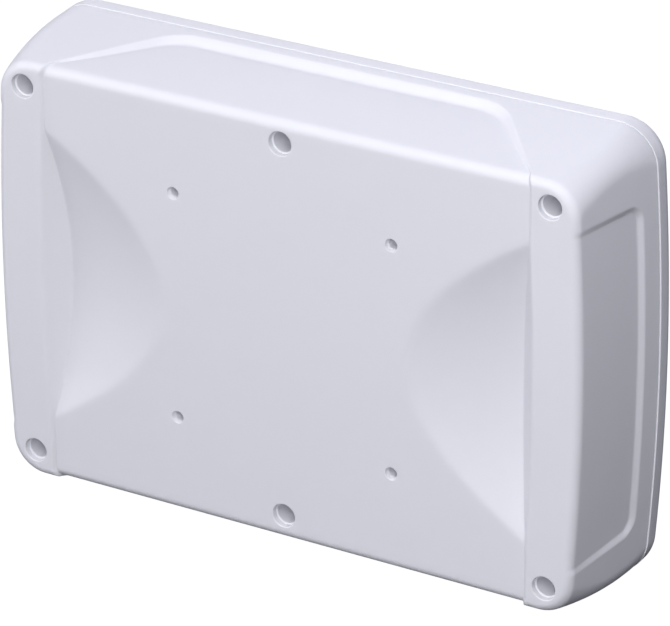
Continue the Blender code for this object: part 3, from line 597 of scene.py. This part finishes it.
def shell_skin():
    """Closed outer skin of the rear shell, with a flat floor inside its rim."""
    rings = shell_rings()
    sides = [ring_sides(ring) for ring in rings]
    build = bmesh.new()
    known = {}
    add_quads(build, weld_grid(build, known, rear_face(rings[0], sides[0])))
    loops = [ring_loop(runs) for runs in sides]
    rim = rings[-1]
    for inset, y in ((1.0 * MM, rim.y), (HOUSING_WALL, RIM_Y - 0.05 * MM)):
        ring = Ring(y, rim.width - inset, rim.height[1] - inset, rim.height[-1] - inset,
                    rim.radius - inset)
        loops.append(ring_loop(ring_sides(ring)))
    loops = [np.concatenate([loop, loop[:1]]) for loop in loops]
    grid = weld_grid(build, known, loops)
    add_quads(build, grid)
    build.faces.new(grid[-1][:-1])
    return new_piece("rear_shell_case", build)


# Solids for the housings: lofts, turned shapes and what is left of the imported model's insides

def node_copy(name):
    """Helper copy of a CAD node, in place and with its vertices joined."""
    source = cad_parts[name]
    build = bmesh.new()
    build.from_mesh(source.data)
    build.transform(source.matrix_world)
    bmesh.ops.remove_doubles(build, verts=build.verts, dist=0.0005 * MM)
    bmesh.ops.recalc_face_normals(build, faces=build.faces)
    mesh = bpy.data.meshes.new(name + "_copy")
    build.to_mesh(mesh)
    build.free()
    return link(bpy.data.objects.new(name + "_copy", mesh))


SIDE_SHARES = [0.9 - 0.1 * step for step in range(19)]
CORNER_STEPS = 12


def side_points(ring, sign_x):
    """Points of one end of a level, from top to bottom."""
    points = []
    for share in SIDE_SHARES:
        z = share * ring.corner[1 if share > 0.0 else -1][1]
        points.append((sign_x * end_x(ring.width, z), ring.y, z))
    return points


def corner_points(ring, sign_x, sign_z):
    """Points of one corner of a level, from the end to the top or bottom."""
    first = ring.corner[sign_z][2]
    points = []
    for step in range(CORNER_STEPS + 1):
        x, z = ring.arc(sign_z, first + (0.5 * math.pi - first) * step / CORNER_STEPS)
        points.append((sign_x * x, ring.y, sign_z * z))
    return points


def outline_loop(ring):
    """Plain outline of a level, counted the same way at every level."""
    points = corner_points(ring, 1, 1) + corner_points(ring, -1, 1)[::-1] + side_points(ring, -1)
    points += corner_points(ring, -1, -1) + corner_points(ring, 1, -1)[::-1]
    return points + side_points(ring, 1)[::-1]


def loft(name, loops):
    """Closed solid through loops of equal length."""
    build = bmesh.new()
    rows = [[build.verts.new(point) for point in loop] for loop in loops]
    add_bands(build, rows)
    build.faces.new(rows[0])
    build.faces.new(rows[-1])
    return new_piece(name, build)


ALONG_Y = Matrix.Rotation(-0.5 * math.pi, 4, "X")  # turns a shape made along z


def circle_row(radius, along, steps):
    """Points of a circle around the z axis."""
    angles = [2.0 * math.pi * step / steps for step in range(steps)]
    return [(radius * math.cos(angle), radius * math.sin(angle), along) for angle in angles]


def turned(name, profile, place, axis="Y", steps=96):
    """Solid of revolution from (radius, distance) points, which end on the axis or make a closed ring."""
    build = bmesh.new()
    rows = []
    for radius, along in profile:
        points = circle_row(radius, along, steps) if radius > 0.0 else [(0.0, 0.0, along)]
        rows.append([build.verts.new(point) for point in points])
    add_bands(build, rows, closed=profile[0][0] > 0.0 and profile[-1][0] > 0.0)
    build.transform(Matrix.Translation(place) @ (ALONG_Y if axis == "Y" else Matrix.Identity(4)))
    return new_piece(name, build)


def arc_profile(centre, radius, start, end, steps):
    """(radius, distance) points of an arc, angles in degrees."""
    points = []
    for step in range(steps + 1):
        angle = math.radians(start + (end - start) * step / steps)
        points.append((centre[0] + radius * math.cos(angle), centre[1] + radius * math.sin(angle)))
    return points


def cut(target, cutters):
    """Takes the cutters out of the target and removes them."""
    for cutter in cutters:
        step = target.modifiers.new("cut", "BOOLEAN")
        step.operation = "DIFFERENCE"
        step.solver = "MANIFOLD"
        step.object = cutter
    graph = bpy.context.evaluated_depsgraph_get()
    mesh = bpy.data.meshes.new_from_object(target.evaluated_get(graph))
    target.modifiers.clear()
    old = target.data
    target.data = mesh
    bpy.data.meshes.remove(old)
    for cutter in cutters:
        used = cutter.data
        bpy.data.objects.remove(cutter)
        bpy.data.meshes.remove(used)
    return target


def inset_ring(y, inset_x, inset_z, radius):
    """Level inside the rear shell's wall."""
    return Ring(y, half_width(y) - inset_x, half_height(y, 1) - inset_z,
                half_height(y, -1) - inset_z, radius)


SCALLOP_WALL = 1.25 * MM


def scallop_lump(sign):
    """Solid from outside the rear face to a wall's thickness inside a scallop, to keep that wall."""
    xs = [value * MM for value in spread_steps(38.0, 88.0, 1.0)]
    zs = [value * MM for value in spread_steps(-66.0, 66.1, 2.0)]
    build = bmesh.new()
    low = []
    high = []
    for z in zs:
        edge_x = strip_edge_x(z)
        low.append([build.verts.new((sign * x, -5.0 * MM, z)) for x in xs])
        line = []
        for x in xs:
            floor = float(panel_y(x, z)) + SCALLOP_WALL
            side = REAR_Y + (edge_x - x) * math.tan(STRIP_WALL_ANGLE) + 2.2 * SCALLOP_WALL
            line.append(build.verts.new((sign * x, max(-4.0 * MM, min(floor, side)), z)))
        high.append(line)
    for grid in (low, high, [low[0], high[0]], [low[-1], high[-1]]):
        add_quads(build, grid)
    for column in (0, -1):
        add_quads(build, [[row[column] for row in low], [row[column] for row in high]])
    return new_piece("scallop_lump", build)


# Levels of the room inside, in millimetres: y, inset from the ends, from top and bottom, and corner
SHELL_ROOM = ((1.3, 4.0, 6.0, 7.0), (3.5, 1.9, 3.7, 6.0), (35.2, 1.9, 3.7, 9.0),
              (36.2, 1.15, 1.15, 10.8), (42.0, 1.15, 1.15, 11.5))
BOSS_RADIUS = 5.6 * MM
BOSS_END_Y = 16.0 * MM
OUTSIDE_Y = -5.0 * MM  # clear of the rear face


def shell_inside():
    """Cutter for the inside: the room, without the walls, posts and bosses that stand in it."""
    levels = [inset_ring(*[value * MM for value in level]) for level in SHELL_ROOM]
    inside = loft("shell_inside", [outline_loop(ring) for ring in levels])
    kept = [scallop_lump(-1), scallop_lump(1)]
    boss = [(0.0, OUTSIDE_Y), (BOSS_RADIUS, OUTSIDE_Y), (BOSS_RADIUS, BOSS_END_Y), (0.0, BOSS_END_Y)]
    for name, x, z, _ in screw_places():
        kept.append(turned("kept_" + name, boss, (x, 0.0, z), steps=48))
    cut(inside, kept)
    return cut(inside, [node_copy("rear_shell")])


# Bores in the rear and bottom faces

def box_middle(name):
    """Middle of a CAD node's box, to a micrometre."""
    low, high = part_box(name)
    return [round(0.5 * value, 6) for value in low + high]


SCREW_X, _, SCREW_Z = box_middle("housing_screw_top_right")
SCREW_MOUTH = 3.87 * MM
SCREW_MOUTH_EDGE = 0.25 * MM
SCREW_LEDGE_DEPTH = 2.0 * MM
SCREW_LEDGE_FOOT = 0.12 * MM
SCREW_LEDGE_EDGE = 0.32 * MM
SCREW_BORE = 3.32 * MM
SCREW_SEAT_Y = 13.52 * MM
SCREW_CLEARANCE = 2.22 * MM
SCREW_CLEARANCE_END_Y = 22.05 * MM
BRACKET_PITCH = 75.0 * MM
BRACKET_MOUTH = 2.02 * MM
BRACKET_MOUTH_EDGE = 0.2 * MM
BRACKET_MOUTH_DEPTH = 1.5 * MM
BRACKET_CONE_TOP = 1.75 * MM
BRACKET_CONE_DEPTH = 1.7 * MM
BRACKET_BORE = 1.62 * MM
BRACKET_BORE_DEPTH = 13.02 * MM
JACK_X, JACK_Y, _ = box_middle("jack_body_right")
JACK_END_Z = round(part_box("jack_body_right")[0].z, 6)
JACK_PAD_Z = -70.9 * MM
JACK_PAD_RADIUS = 6.5 * MM
JACK_HOLE_RADIUS = 3.47 * MM
JACK_INNER_PAD_Z = -66.3 * MM
CUTTER_EXCESS = 4.0 * MM  # how far a cutter stands out of the face that it enters


def screw_places():
    """Name, x, z and the y of the face around each of the six screw holes."""
    return [(name, sign_x * SCREW_X, sign_z * SCREW_Z, REAR_Y if sign_x else 0.0)
            for name, sign_x, sign_z in SCREWS]


def mouth_profile(radius, edge, face_y, steps):
    """Profile of a cutter from outside the face through a mouth's rounded edge."""
    outside = face_y - CUTTER_EXCESS
    profile = [(0.0, outside), (radius + edge, outside), (radius + edge, face_y - 0.001 * MM)]
    return profile + arc_profile((radius + edge, face_y + edge), edge, 270.0, 180.0, steps)[1:]


def screw_bore(name, x, z, face_y):
    """Cutter: mouth with a rounded edge, a rounded ledge, the bore to the seat, and the clearance."""
    ledge_y = face_y + SCREW_LEDGE_DEPTH
    foot = SCREW_LEDGE_FOOT
    edge = SCREW_LEDGE_EDGE
    profile = mouth_profile(SCREW_MOUTH, SCREW_MOUTH_EDGE, face_y, 5)
    profile += arc_profile((SCREW_MOUTH - foot, ledge_y - foot), foot, 0.0, 90.0, 2)
    profile += arc_profile((SCREW_BORE + edge, ledge_y + edge), edge, 270.0, 180.0, 5)
    profile += [(SCREW_BORE, SCREW_SEAT_Y), (SCREW_CLEARANCE, SCREW_SEAT_Y),
                (SCREW_CLEARANCE, SCREW_CLEARANCE_END_Y), (0.0, SCREW_CLEARANCE_END_Y)]
    return turned("screw_bore_" + name, profile, (x, 0.0, z), steps=64)


def bracket_bore(name, x, z):
    """Cutter: mouth with a rounded edge, a short cone and the blind pilot bore."""
    profile = mouth_profile(BRACKET_MOUTH, BRACKET_MOUTH_EDGE, 0.0, 4)
    profile += [(BRACKET_MOUTH, BRACKET_MOUTH_DEPTH), (BRACKET_CONE_TOP, BRACKET_MOUTH_DEPTH),
                (BRACKET_BORE, BRACKET_CONE_DEPTH), (BRACKET_BORE, BRACKET_BORE_DEPTH),
                (0.0, BRACKET_BORE_DEPTH)]
    return turned("bracket_bore_" + name, profile, (x, 0.0, z), steps=48)


def jack_pad(side, sign):
    """Cutter: a flat round pad in the bottom face and the hole through it."""
    low = -90.0 * MM
    high = -60.0 * MM
    profile = [(0.0, low), (JACK_PAD_RADIUS, low), (JACK_PAD_RADIUS, JACK_PAD_Z),
               (JACK_HOLE_RADIUS, JACK_PAD_Z), (JACK_HOLE_RADIUS, high), (0.0, high)]
    return turned("jack_pad_" + side, profile, (sign * JACK_X, JACK_Y, 0.0), "Z", 72)


def rear_shell():
    shell = shell_skin()
    cut(shell, [shell_inside()])
    half = 0.5 * BRACKET_PITCH
    cutters = [screw_bore(*place) for place in screw_places()]
    cutters += [bracket_bore(name, sign_x * half, sign_z * half) for name, sign_x, sign_z in CORNERS]
    cutters += [jack_pad(side, sign) for side, sign in SIDES]
    cut(shell, cutters)
    return smooth(shell)


def smooth(item):
    """Smooth shading again after a cut, with the large faces' normals leading."""
    item.data.shade_smooth()
    item.data.set_sharp_from_angle(angle=math.radians(SMOOTH_ANGLE))
    weights = item.modifiers.new("weights", "WEIGHTED_NORMAL")
    weights.keep_sharp = True
    weights.mode = "FACE_AREA"
    return item


# Front cover

COVER_PROUD = 0.4 * MM
COVER_CORNER = 13.6 * MM
COVER_EDGE_RADIUS = 5.3 * MM
COVER_LIP = 0.2 * MM
LIP_STEPS = 4
COVER_EDGE_STEPS = 16

# Levels of the room inside, in millimetres: y and inset
COVER_ROOM = ((34.0, 1.15), (43.0, 1.15), (46.4, 3.4))


def cover_ring(y, inset):
    """Level of the cover, set in from its outline."""
    width = SEAM_HALF_WIDTH + COVER_PROUD - inset
    height = SEAM_HALF_HEIGHT + COVER_PROUD - inset
    return Ring(y, width, height, height, COVER_CORNER - inset)


def cover_skin():
    """Closed skin of the cover: flat rim inside the seam, lip, straight side and rounded front edge."""
    rim_y = COVER_REAR_Y + 0.05 * MM
    rings = [cover_ring(rim_y, 1.4 * MM), cover_ring(rim_y, HOUSING_WALL), cover_ring(SEAM_Y, 0.9 * MM)]
    for step in range(LIP_STEPS + 1):
        angle = 0.5 * math.pi * step / LIP_STEPS
        rings.append(cover_ring(SEAM_Y + COVER_LIP * (1.0 - math.cos(angle)),
                                COVER_LIP * (1.0 - math.sin(angle))))
    straight_end = COVER_FRONT_Y - COVER_EDGE_RADIUS
    for share in (0.33, 0.67):
        rings.append(cover_ring(SEAM_Y + COVER_LIP + (straight_end - SEAM_Y - COVER_LIP) * share, 0.0))
    for step in range(COVER_EDGE_STEPS + 1):
        angle = 0.5 * math.pi * step / COVER_EDGE_STEPS
        rings.append(cover_ring(straight_end + COVER_EDGE_RADIUS * math.sin(angle),
                                COVER_EDGE_RADIUS * (1.0 - math.cos(angle))))
    return loft("front_cover_case", [outline_loop(ring) for ring in rings])


def front_cover():
    cover = cover_skin()
    levels = [cover_ring(y * MM, inset * MM) for y, inset in COVER_ROOM]
    inside = loft("cover_inside", [outline_loop(ring) for ring in levels])
    cut(inside, [node_copy("front_cover")])
    cut(cover, [inside])
    return smooth(cover)


# Fasteners and jacks

SCREW_SOCKET = 1.6 * MM  # both its corner radius and its depth
SCREW_HEAD_ROUNDING = 1.0 * MM
SCREW_SHANK = 1.95 * MM
JACK_BORE = 2.35 * MM
JACK_THREAD = 3.15 * MM
JACK_THREAD_PITCH = 0.706 * MM
JACK_THREAD_DEPTH = 0.40 * MM
JACK_FLANGE = 4.6 * MM
JACK_FLANGE_THICKNESS = 2.2 * MM
JACK_FERRULE = 2.0 * MM
JACK_FERRULE_LENGTH = 6.0 * MM
JACK_FERRULE_BORE = 1.6 * MM
NUT_BORE = 3.2 * MM
NUT_CORNER = 4.6 * MM


def threaded_rows(low, high, major, depth, pitch, steps, rows_per_turn, chamfer_low, chamfer_high):
    """Rows of points of a screw thread along z, from low to high, chamfered at both ends."""
    rows = []
    count = int(round((high - low) / pitch * rows_per_turn))
    for index in range(count + 1):
        along = low + (high - low) * index / count
        limit = min(major, major - chamfer_low + (along - low), major - chamfer_high + (high - along))
        row = []
        for step in range(steps):
            angle = 2.0 * math.pi * step / steps
            phase = (along / pitch - step / steps) % 1.0
            groove = max(0.0, min(1.0, 1.35 - abs(4.0 * phase - 2.0) * 0.85))
            radius = min(limit, major - depth * groove)
            row.append((radius * math.cos(angle), radius * math.sin(angle), along))
        rows.append(row)
    return rows


def housing_screw(name, x, z):
    """Socket screw: rounded head with a hexagon socket, plain shank with a pointed end."""
    low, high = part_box(name)
    head = 0.5 * (high.x - low.x)
    dome = SCREW_HEAD_ROUNDING
    seat = SCREW_SEAT_Y - 0.32 * MM
    chamfer = 0.15 * MM
    profile = [(0.0, low.y), (head - dome, low.y)]
    profile += arc_profile((head - dome, low.y + dome), dome, 270.0, 360.0, 8)[1:]
    profile += [(head, seat - chamfer), (head - chamfer, seat), (SCREW_SHANK, seat),
                (SCREW_SHANK, high.y - 0.5 * MM), (1.5 * MM, high.y), (0.0, high.y)]
    screw = turned(name + "_piece", profile, (x, 0.0, z), steps=64)
    ends = [circle_row(SCREW_SOCKET, y, 6) for y in (low.y - 3.0 * MM, low.y + SCREW_SOCKET)]
    socket = loft(name + "_socket", [[(x + a, y, z - b) for a, b, y in row] for row in ends])
    return smooth(cut(screw, [socket]))


def ring_solid(name, rows, place):
    """Closed solid through rings of equal count; the last row joins the first."""
    build = bmesh.new()
    add_bands(build, [[build.verts.new(point) for point in row] for row in rows], closed=True)
    build.transform(Matrix.Translation(place))
    return new_piece(name, build, 50.0)


def jack_body(name, place):
    """Threaded barrel with its flange, ferrule and socket."""
    steps = 60
    flange_low = JACK_INNER_PAD_Z + 1.7 * MM
    flange_high = flange_low + JACK_FLANGE_THICKNESS
    ferrule_top = flange_high + JACK_FERRULE_LENGTH
    bore_end = flange_high - 1.0 * MM
    rows = [circle_row(radius, along, steps) for radius, along in (
        (JACK_BORE, bore_end), (JACK_BORE, JACK_END_Z + 0.25 * MM), (JACK_BORE + 0.2 * MM, JACK_END_Z),
        (2.7 * MM, JACK_END_Z))]
    rows += threaded_rows(JACK_END_Z + 0.02 * MM, JACK_PAD_Z + 1.2 * MM, JACK_THREAD, JACK_THREAD_DEPTH,
                          JACK_THREAD_PITCH, steps, 10, 0.45 * MM, 0.0)
    rows += [circle_row(radius, along, steps) for radius, along in (
        (JACK_THREAD, flange_low), (JACK_FLANGE, flange_low), (JACK_FLANGE, flange_high),
        (JACK_FERRULE, flange_high), (JACK_FERRULE, ferrule_top), (JACK_FERRULE_BORE, ferrule_top),
        (JACK_FERRULE_BORE, bore_end))]
    return ring_solid(name + "_piece", rows, place)


def hexagon_row(corner, limit, along, steps):
    """Points of a hexagon around the z axis, with its corners cut off at a radius."""
    flat = corner * math.cos(math.pi / 6.0)
    row = []
    for step in range(steps):
        angle = 2.0 * math.pi * step / steps
        past_corner = abs((angle + math.pi / 6.0) % (math.pi / 3.0) - math.pi / 6.0)
        reach = min(flat / math.cos(math.pi / 6.0 - past_corner), limit)
        row.append((reach * math.cos(angle), reach * math.sin(angle), along))
    return row


def jack_nut(name, place):
    """Hexagon nut with chamfered corners and a chamfered bore."""
    low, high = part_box(name)
    steps = 120
    flat = NUT_CORNER * math.cos(math.pi / 6.0)
    bore_edge = 0.25 * MM
    bore_depth = 0.2 * MM
    cut_corner = NUT_CORNER - 0.3 * MM
    face = flat - 0.05 * MM
    rows = [circle_row(NUT_BORE, low.z + bore_depth, steps), circle_row(NUT_BORE + bore_edge, low.z, steps),
            circle_row(face, low.z, steps)]
    for limit, along in ((cut_corner, low.z + 0.18 * MM), (NUT_CORNER, low.z + 0.33 * MM),
                         (NUT_CORNER, low.z + 0.45 * MM), (NUT_CORNER, high.z - 0.45 * MM),
                         (cut_corner, high.z - 0.18 * MM)):
        rows.append(hexagon_row(NUT_CORNER, limit, along, steps))
    rows += [circle_row(face, high.z, steps), circle_row(NUT_BORE + bore_edge, high.z, steps),
             circle_row(NUT_BORE, high.z - bore_depth, steps)]
    return ring_solid(name + "_piece", rows, place)


def jack_washer(name, place):
    """Flat washer with a rounded outer edge."""
    low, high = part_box(name)
    edge = 0.12 * MM
    outer = 0.5 * (high.x - low.x)
    profile = [(NUT_BORE, low.z), (outer - edge, low.z)]
    profile += arc_profile((outer - edge, low.z + edge), edge, 270.0, 360.0, 3)[1:]
    profile += arc_profile((outer - edge, high.z - edge), edge, 0.0, 90.0, 3)
    profile += [(NUT_BORE, high.z)]
    return turned(name + "_piece", profile, place, "Z", 96)


# Finishes

FINISH = "_finish"


def set_inputs(item, inputs):
    for name, value in inputs.items():
        item.inputs[name].default_value = value
    return item


def add_node(tree, kind, inputs):
    return set_inputs(tree.nodes.new(kind), inputs)


def mapped(tree, value, low, high, start=0.0, end=1.0):
    """A value from start to end, mapped to the range from low to high."""
    spread = add_node(tree, "ShaderNodeMapRange", {"From Min": start, "From Max": end,
                                                   "To Min": low, "To Max": high})
    tree.links.new(value, spread.inputs["Value"])
    return spread.outputs["Result"]


def mapped_noise(tree, coordinates, scale, detail, low, high):
    """Noise mapped to the range from low to high."""
    noise = add_node(tree, "ShaderNodeTexNoise", {"Scale": scale, "Detail": detail, "Roughness": 0.6})
    tree.links.new(coordinates, noise.inputs["Vector"])
    return mapped(tree, noise.outputs["Fac"], low, high)


def finish_material(name, colour, roughness, metallic=0.0, change=0.03, grain=1500.0, depth=0.01,
                    stretch=(1.0, 1.0, 1.0), specular=0.5, glow=0.0):
    """Material whose tone, gloss and surface vary a little, all from noise."""
    material = bpy.data.materials.new(name + FINISH)
    material.use_nodes = True
    tree = material.node_tree
    shader = set_inputs(tree.nodes["Principled BSDF"], {
        "Metallic": metallic, "Specular IOR Level": specular, "Subsurface Weight": glow,
        "Subsurface Radius": (1.0, 1.0, 1.0), "Subsurface Scale": 1.2 * MM})
    place = tree.nodes.new("ShaderNodeTexCoord")
    mapping = add_node(tree, "ShaderNodeMapping", {"Scale": stretch})
    tree.links.new(place.outputs["Object"], mapping.inputs["Vector"])
    vector = mapping.outputs["Vector"]
    tone = tree.nodes.new("ShaderNodeMix")
    tone.data_type = "RGBA"
    tone.inputs["A"].default_value = [part * (1.0 - change) for part in colour] + [1.0]
    tone.inputs["B"].default_value = [min(1.0, part * (1.0 + change)) for part in colour] + [1.0]
    tree.links.new(mapped_noise(tree, vector, 45.0, 3.0, 0.0, 1.0), tone.inputs["Factor"])
    tree.links.new(tone.outputs["Result"], shader.inputs["Base Color"])
    gloss = mapped_noise(tree, vector, 220.0, 2.0, roughness * 0.9, min(1.0, roughness * 1.1))
    tree.links.new(gloss, shader.inputs["Roughness"])
    bump = add_node(tree, "ShaderNodeBump", {"Strength": 0.35, "Distance": depth * MM})
    tree.links.new(mapped_noise(tree, vector, grain, 4.0, 0.0, 1.0), bump.inputs["Height"])
    tree.links.new(bump.outputs["Normal"], shader.inputs["Normal"])
    return material


FINISHES = {material.name: material for material in (
    finish_material("housing_white", (0.795, 0.795, 0.838), 0.50, change=0.008, grain=2600.0,
                    depth=0.012, specular=0.35, glow=0.35),
    finish_material("gasket_black", (0.020, 0.020, 0.022), 0.75, grain=900.0),
    finish_material("stainless_steel", (0.56, 0.56, 0.57), 0.30, 1.0, 0.06, 1200.0, 0.01, (1.0, 6.0, 1.0)),
    finish_material("brass", (0.72, 0.52, 0.22), 0.32, 1.0, 0.06),
    finish_material("aluminium", (0.80, 0.80, 0.81), 0.38, 1.0, 0.04, 900.0, 0.02, (1.0, 1.0, 12.0)),
    finish_material("carrier_plastic", (0.06, 0.06, 0.065), 0.55),
    finish_material("nylon", (0.78, 0.76, 0.70), 0.45),
    finish_material("circuit_board", (0.02, 0.17, 0.07), 0.40, 0.0, 0.10),
    finish_material("copper", (0.80, 0.42, 0.26), 0.34, 1.0, 0.06),
    finish_material("gold_plate", (0.83, 0.62, 0.28), 0.26, 1.0, 0.05, 1600.0, 0.006),
    finish_material("insulator_white", (0.86, 0.86, 0.84), 0.50),
    finish_material("coax_jacket", (0.36, 0.15, 0.06), 0.42, 0.0, 0.08),
)}


def show(piece, replaced, slot_name):
    """Gives a piece its finish and puts it in the place of its CAD node."""
    piece.data.materials.clear()
    piece.data.materials.append(FINISHES[slot_name + FINISH])
    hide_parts(replaced)
    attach(piece, "root")


show(rear_shell(), "rear_shell", "housing_white")
show(front_cover(), "front_cover", "housing_white")
for screw_name, screw_x, screw_z, _ in screw_places():
    screw_node = "housing_screw_" + screw_name
    show(housing_screw(screw_node, screw_x, screw_z), screw_node, "stainless_steel")
for side_name, side_sign in SIDES:
    for kind, make in (("jack_body_", jack_body), ("jack_nut_", jack_nut), ("jack_washer_", jack_washer)):
        show(make(kind + side_name, (side_sign * JACK_X, JACK_Y, 0.0)), kind + side_name, "gold_plate")
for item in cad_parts.values():
    for item_slot in item.material_slots:
        slot_name = item_slot.material.name.split(".")[0]
        item_slot.material = FINISHES[slot_name + FINISH]


# Stage: floor, light and camera

def pale_floor():
    """White to the camera from above without a shadow on it, clear from below, dark to all other rays."""
    size = 6.0
    mesh = bpy.data.meshes.new("floor")
    low_z = CAD_BOX[0].z - 0.5 * MM
    mesh.from_pydata([(-size, -size, low_z), (size, -size, low_z), (size, size, low_z),
                      (-size, size, low_z)], [], [(0, 1, 2, 3)])
    floor = link(bpy.data.objects.new("floor", mesh))
    material = bpy.data.materials.new("pale_floor")
    material.use_nodes = True
    tree = material.node_tree
    shader = set_inputs(tree.nodes["Principled BSDF"], {
        "Roughness": 1.0, "Specular IOR Level": 0.0, "Base Color": (0.06, 0.06, 0.07, 1.0),
        "Emission Color": (1.0, 1.0, 1.0, 1.0)})
    path = tree.nodes.new("ShaderNodeLightPath")
    under = tree.nodes.new("ShaderNodeNewGeometry")
    seen = tree.nodes.new("ShaderNodeMath")
    seen.operation = "SUBTRACT"
    seen.inputs[0].default_value = 1.0
    tree.links.new(under.outputs["Backfacing"], seen.inputs[1])
    tree.links.new(seen.outputs["Value"], shader.inputs["Alpha"])
    tree.links.new(path.outputs["Is Camera Ray"], shader.inputs["Emission Strength"])
    mesh.materials.append(material)
    return floor


def area_light(name, place, target, size, power, colour):
    light = bpy.data.lights.new(name, "AREA")
    light.color = colour
    light.shape = "DISK"
    light.size = size
    light.energy = power
    item = link(bpy.data.objects.new(name, light))
    item.location = place
    item.rotation_euler = (Vector(target) - Vector(place)).to_track_quat("-Z", "Y").to_euler()
    return item


def from_angles(azimuth, elevation, distance):
    """Point around the origin; azimuth 0 is in front of the rear face, 90 at its right (+X)."""
    a = math.radians(azimuth)
    e = math.radians(elevation)
    return (distance * math.sin(a) * math.cos(e), -distance * math.cos(a) * math.cos(e),
            distance * math.sin(e))


MIDDLE = (0.0, 0.02, 0.0)
WARM = (1.0, 1.0, 0.95)
NEUTRAL = (0.98, 0.985, 1.02)
BLUE = (0.88, 0.91, 1.2)

# Name, azimuth, elevation, distance, size, power and colour
LIGHTS = (("key", 36.0, 56.0, 1.5, 1.4, 9.8, WARM),
          ("front", 23.0, 24.0, 1.0, 0.8, 5.6, NEUTRAL),
          ("fill", -62.0, 22.0, 1.1, 0.9, 4.4, NEUTRAL),
          ("side", 95.0, 55.0, 0.5, 0.2, 0.17, BLUE),
          ("back", 200.0, 15.0, 1.5, 1.2, 6.0, NEUTRAL))


def studio_world():
    """Dim bluish light all round, brighter from above and darker from the part's right."""
    world = bpy.data.worlds.new("studio")
    bpy.context.scene.world = world
    world.use_nodes = True
    tree = world.node_tree
    backdrop = tree.nodes["Background"]
    direction = tree.nodes.new("ShaderNodeTexCoord")
    parts = tree.nodes.new("ShaderNodeSeparateXYZ")
    tree.links.new(direction.outputs["Generated"], parts.inputs["Vector"])
    strength = tree.nodes.new("ShaderNodeMath")
    strength.operation = "MULTIPLY"
    tree.links.new(mapped(tree, parts.outputs["Z"], 0.10, 0.36, -0.2, 1.0), strength.inputs[0])
    tree.links.new(mapped(tree, parts.outputs["X"], 1.0, 0.3, 0.0, 0.8), strength.inputs[1])
    tree.links.new(strength.outputs["Value"], backdrop.inputs["Strength"])
    backdrop.inputs["Color"].default_value = (0.93, 0.95, 1.16, 1.0)

CAMERA_AZIMUTH = math.radians(30.37)
CAMERA_ELEVATION = math.radians(25.72)
CAMERA_ROLL = math.radians(-0.32)
CAMERA_TARGET = Vector((18.47, 0.0, 11.23)) * MM
CAMERA_DISTANCE = 1340.8 * MM
CAMERA_FOCAL_LENGTH = 243.8  # millimetres, for a sensor 36 mm wide


def photo_camera():
    """Camera with a long lens, above and to the right of the rear face."""
    back = Vector((math.sin(CAMERA_AZIMUTH) * math.cos(CAMERA_ELEVATION),
                   -math.cos(CAMERA_AZIMUTH) * math.cos(CAMERA_ELEVATION), math.sin(CAMERA_ELEVATION)))
    right = Vector((math.cos(CAMERA_AZIMUTH), math.sin(CAMERA_AZIMUTH), 0.0))
    up = back.cross(right)
    across = right * math.cos(CAMERA_ROLL) + up * math.sin(CAMERA_ROLL)
    above = up * math.cos(CAMERA_ROLL) - right * math.sin(CAMERA_ROLL)
    lens = bpy.data.cameras.new("camera")
    lens.lens = CAMERA_FOCAL_LENGTH
    lens.sensor_width = 36.0
    lens.sensor_fit = "HORIZONTAL"
    lens.clip_start = 0.05
    camera = link(bpy.data.objects.new("camera", lens))
    frame_axes = Matrix((across, above, back)).transposed().to_4x4()
    camera.matrix_world = Matrix.Translation(CAMERA_TARGET + back * CAMERA_DISTANCE) @ frame_axes
    bpy.context.scene.camera = camera


pale_floor()
for light_name, azimuth, elevation, distance, size, power, colour in LIGHTS:
    area_light(light_name, from_angles(azimuth, elevation, distance), MIDDLE, size, power, colour)
studio_world()
bpy.context.scene.view_settings.view_transform = "Standard"
photo_camera()
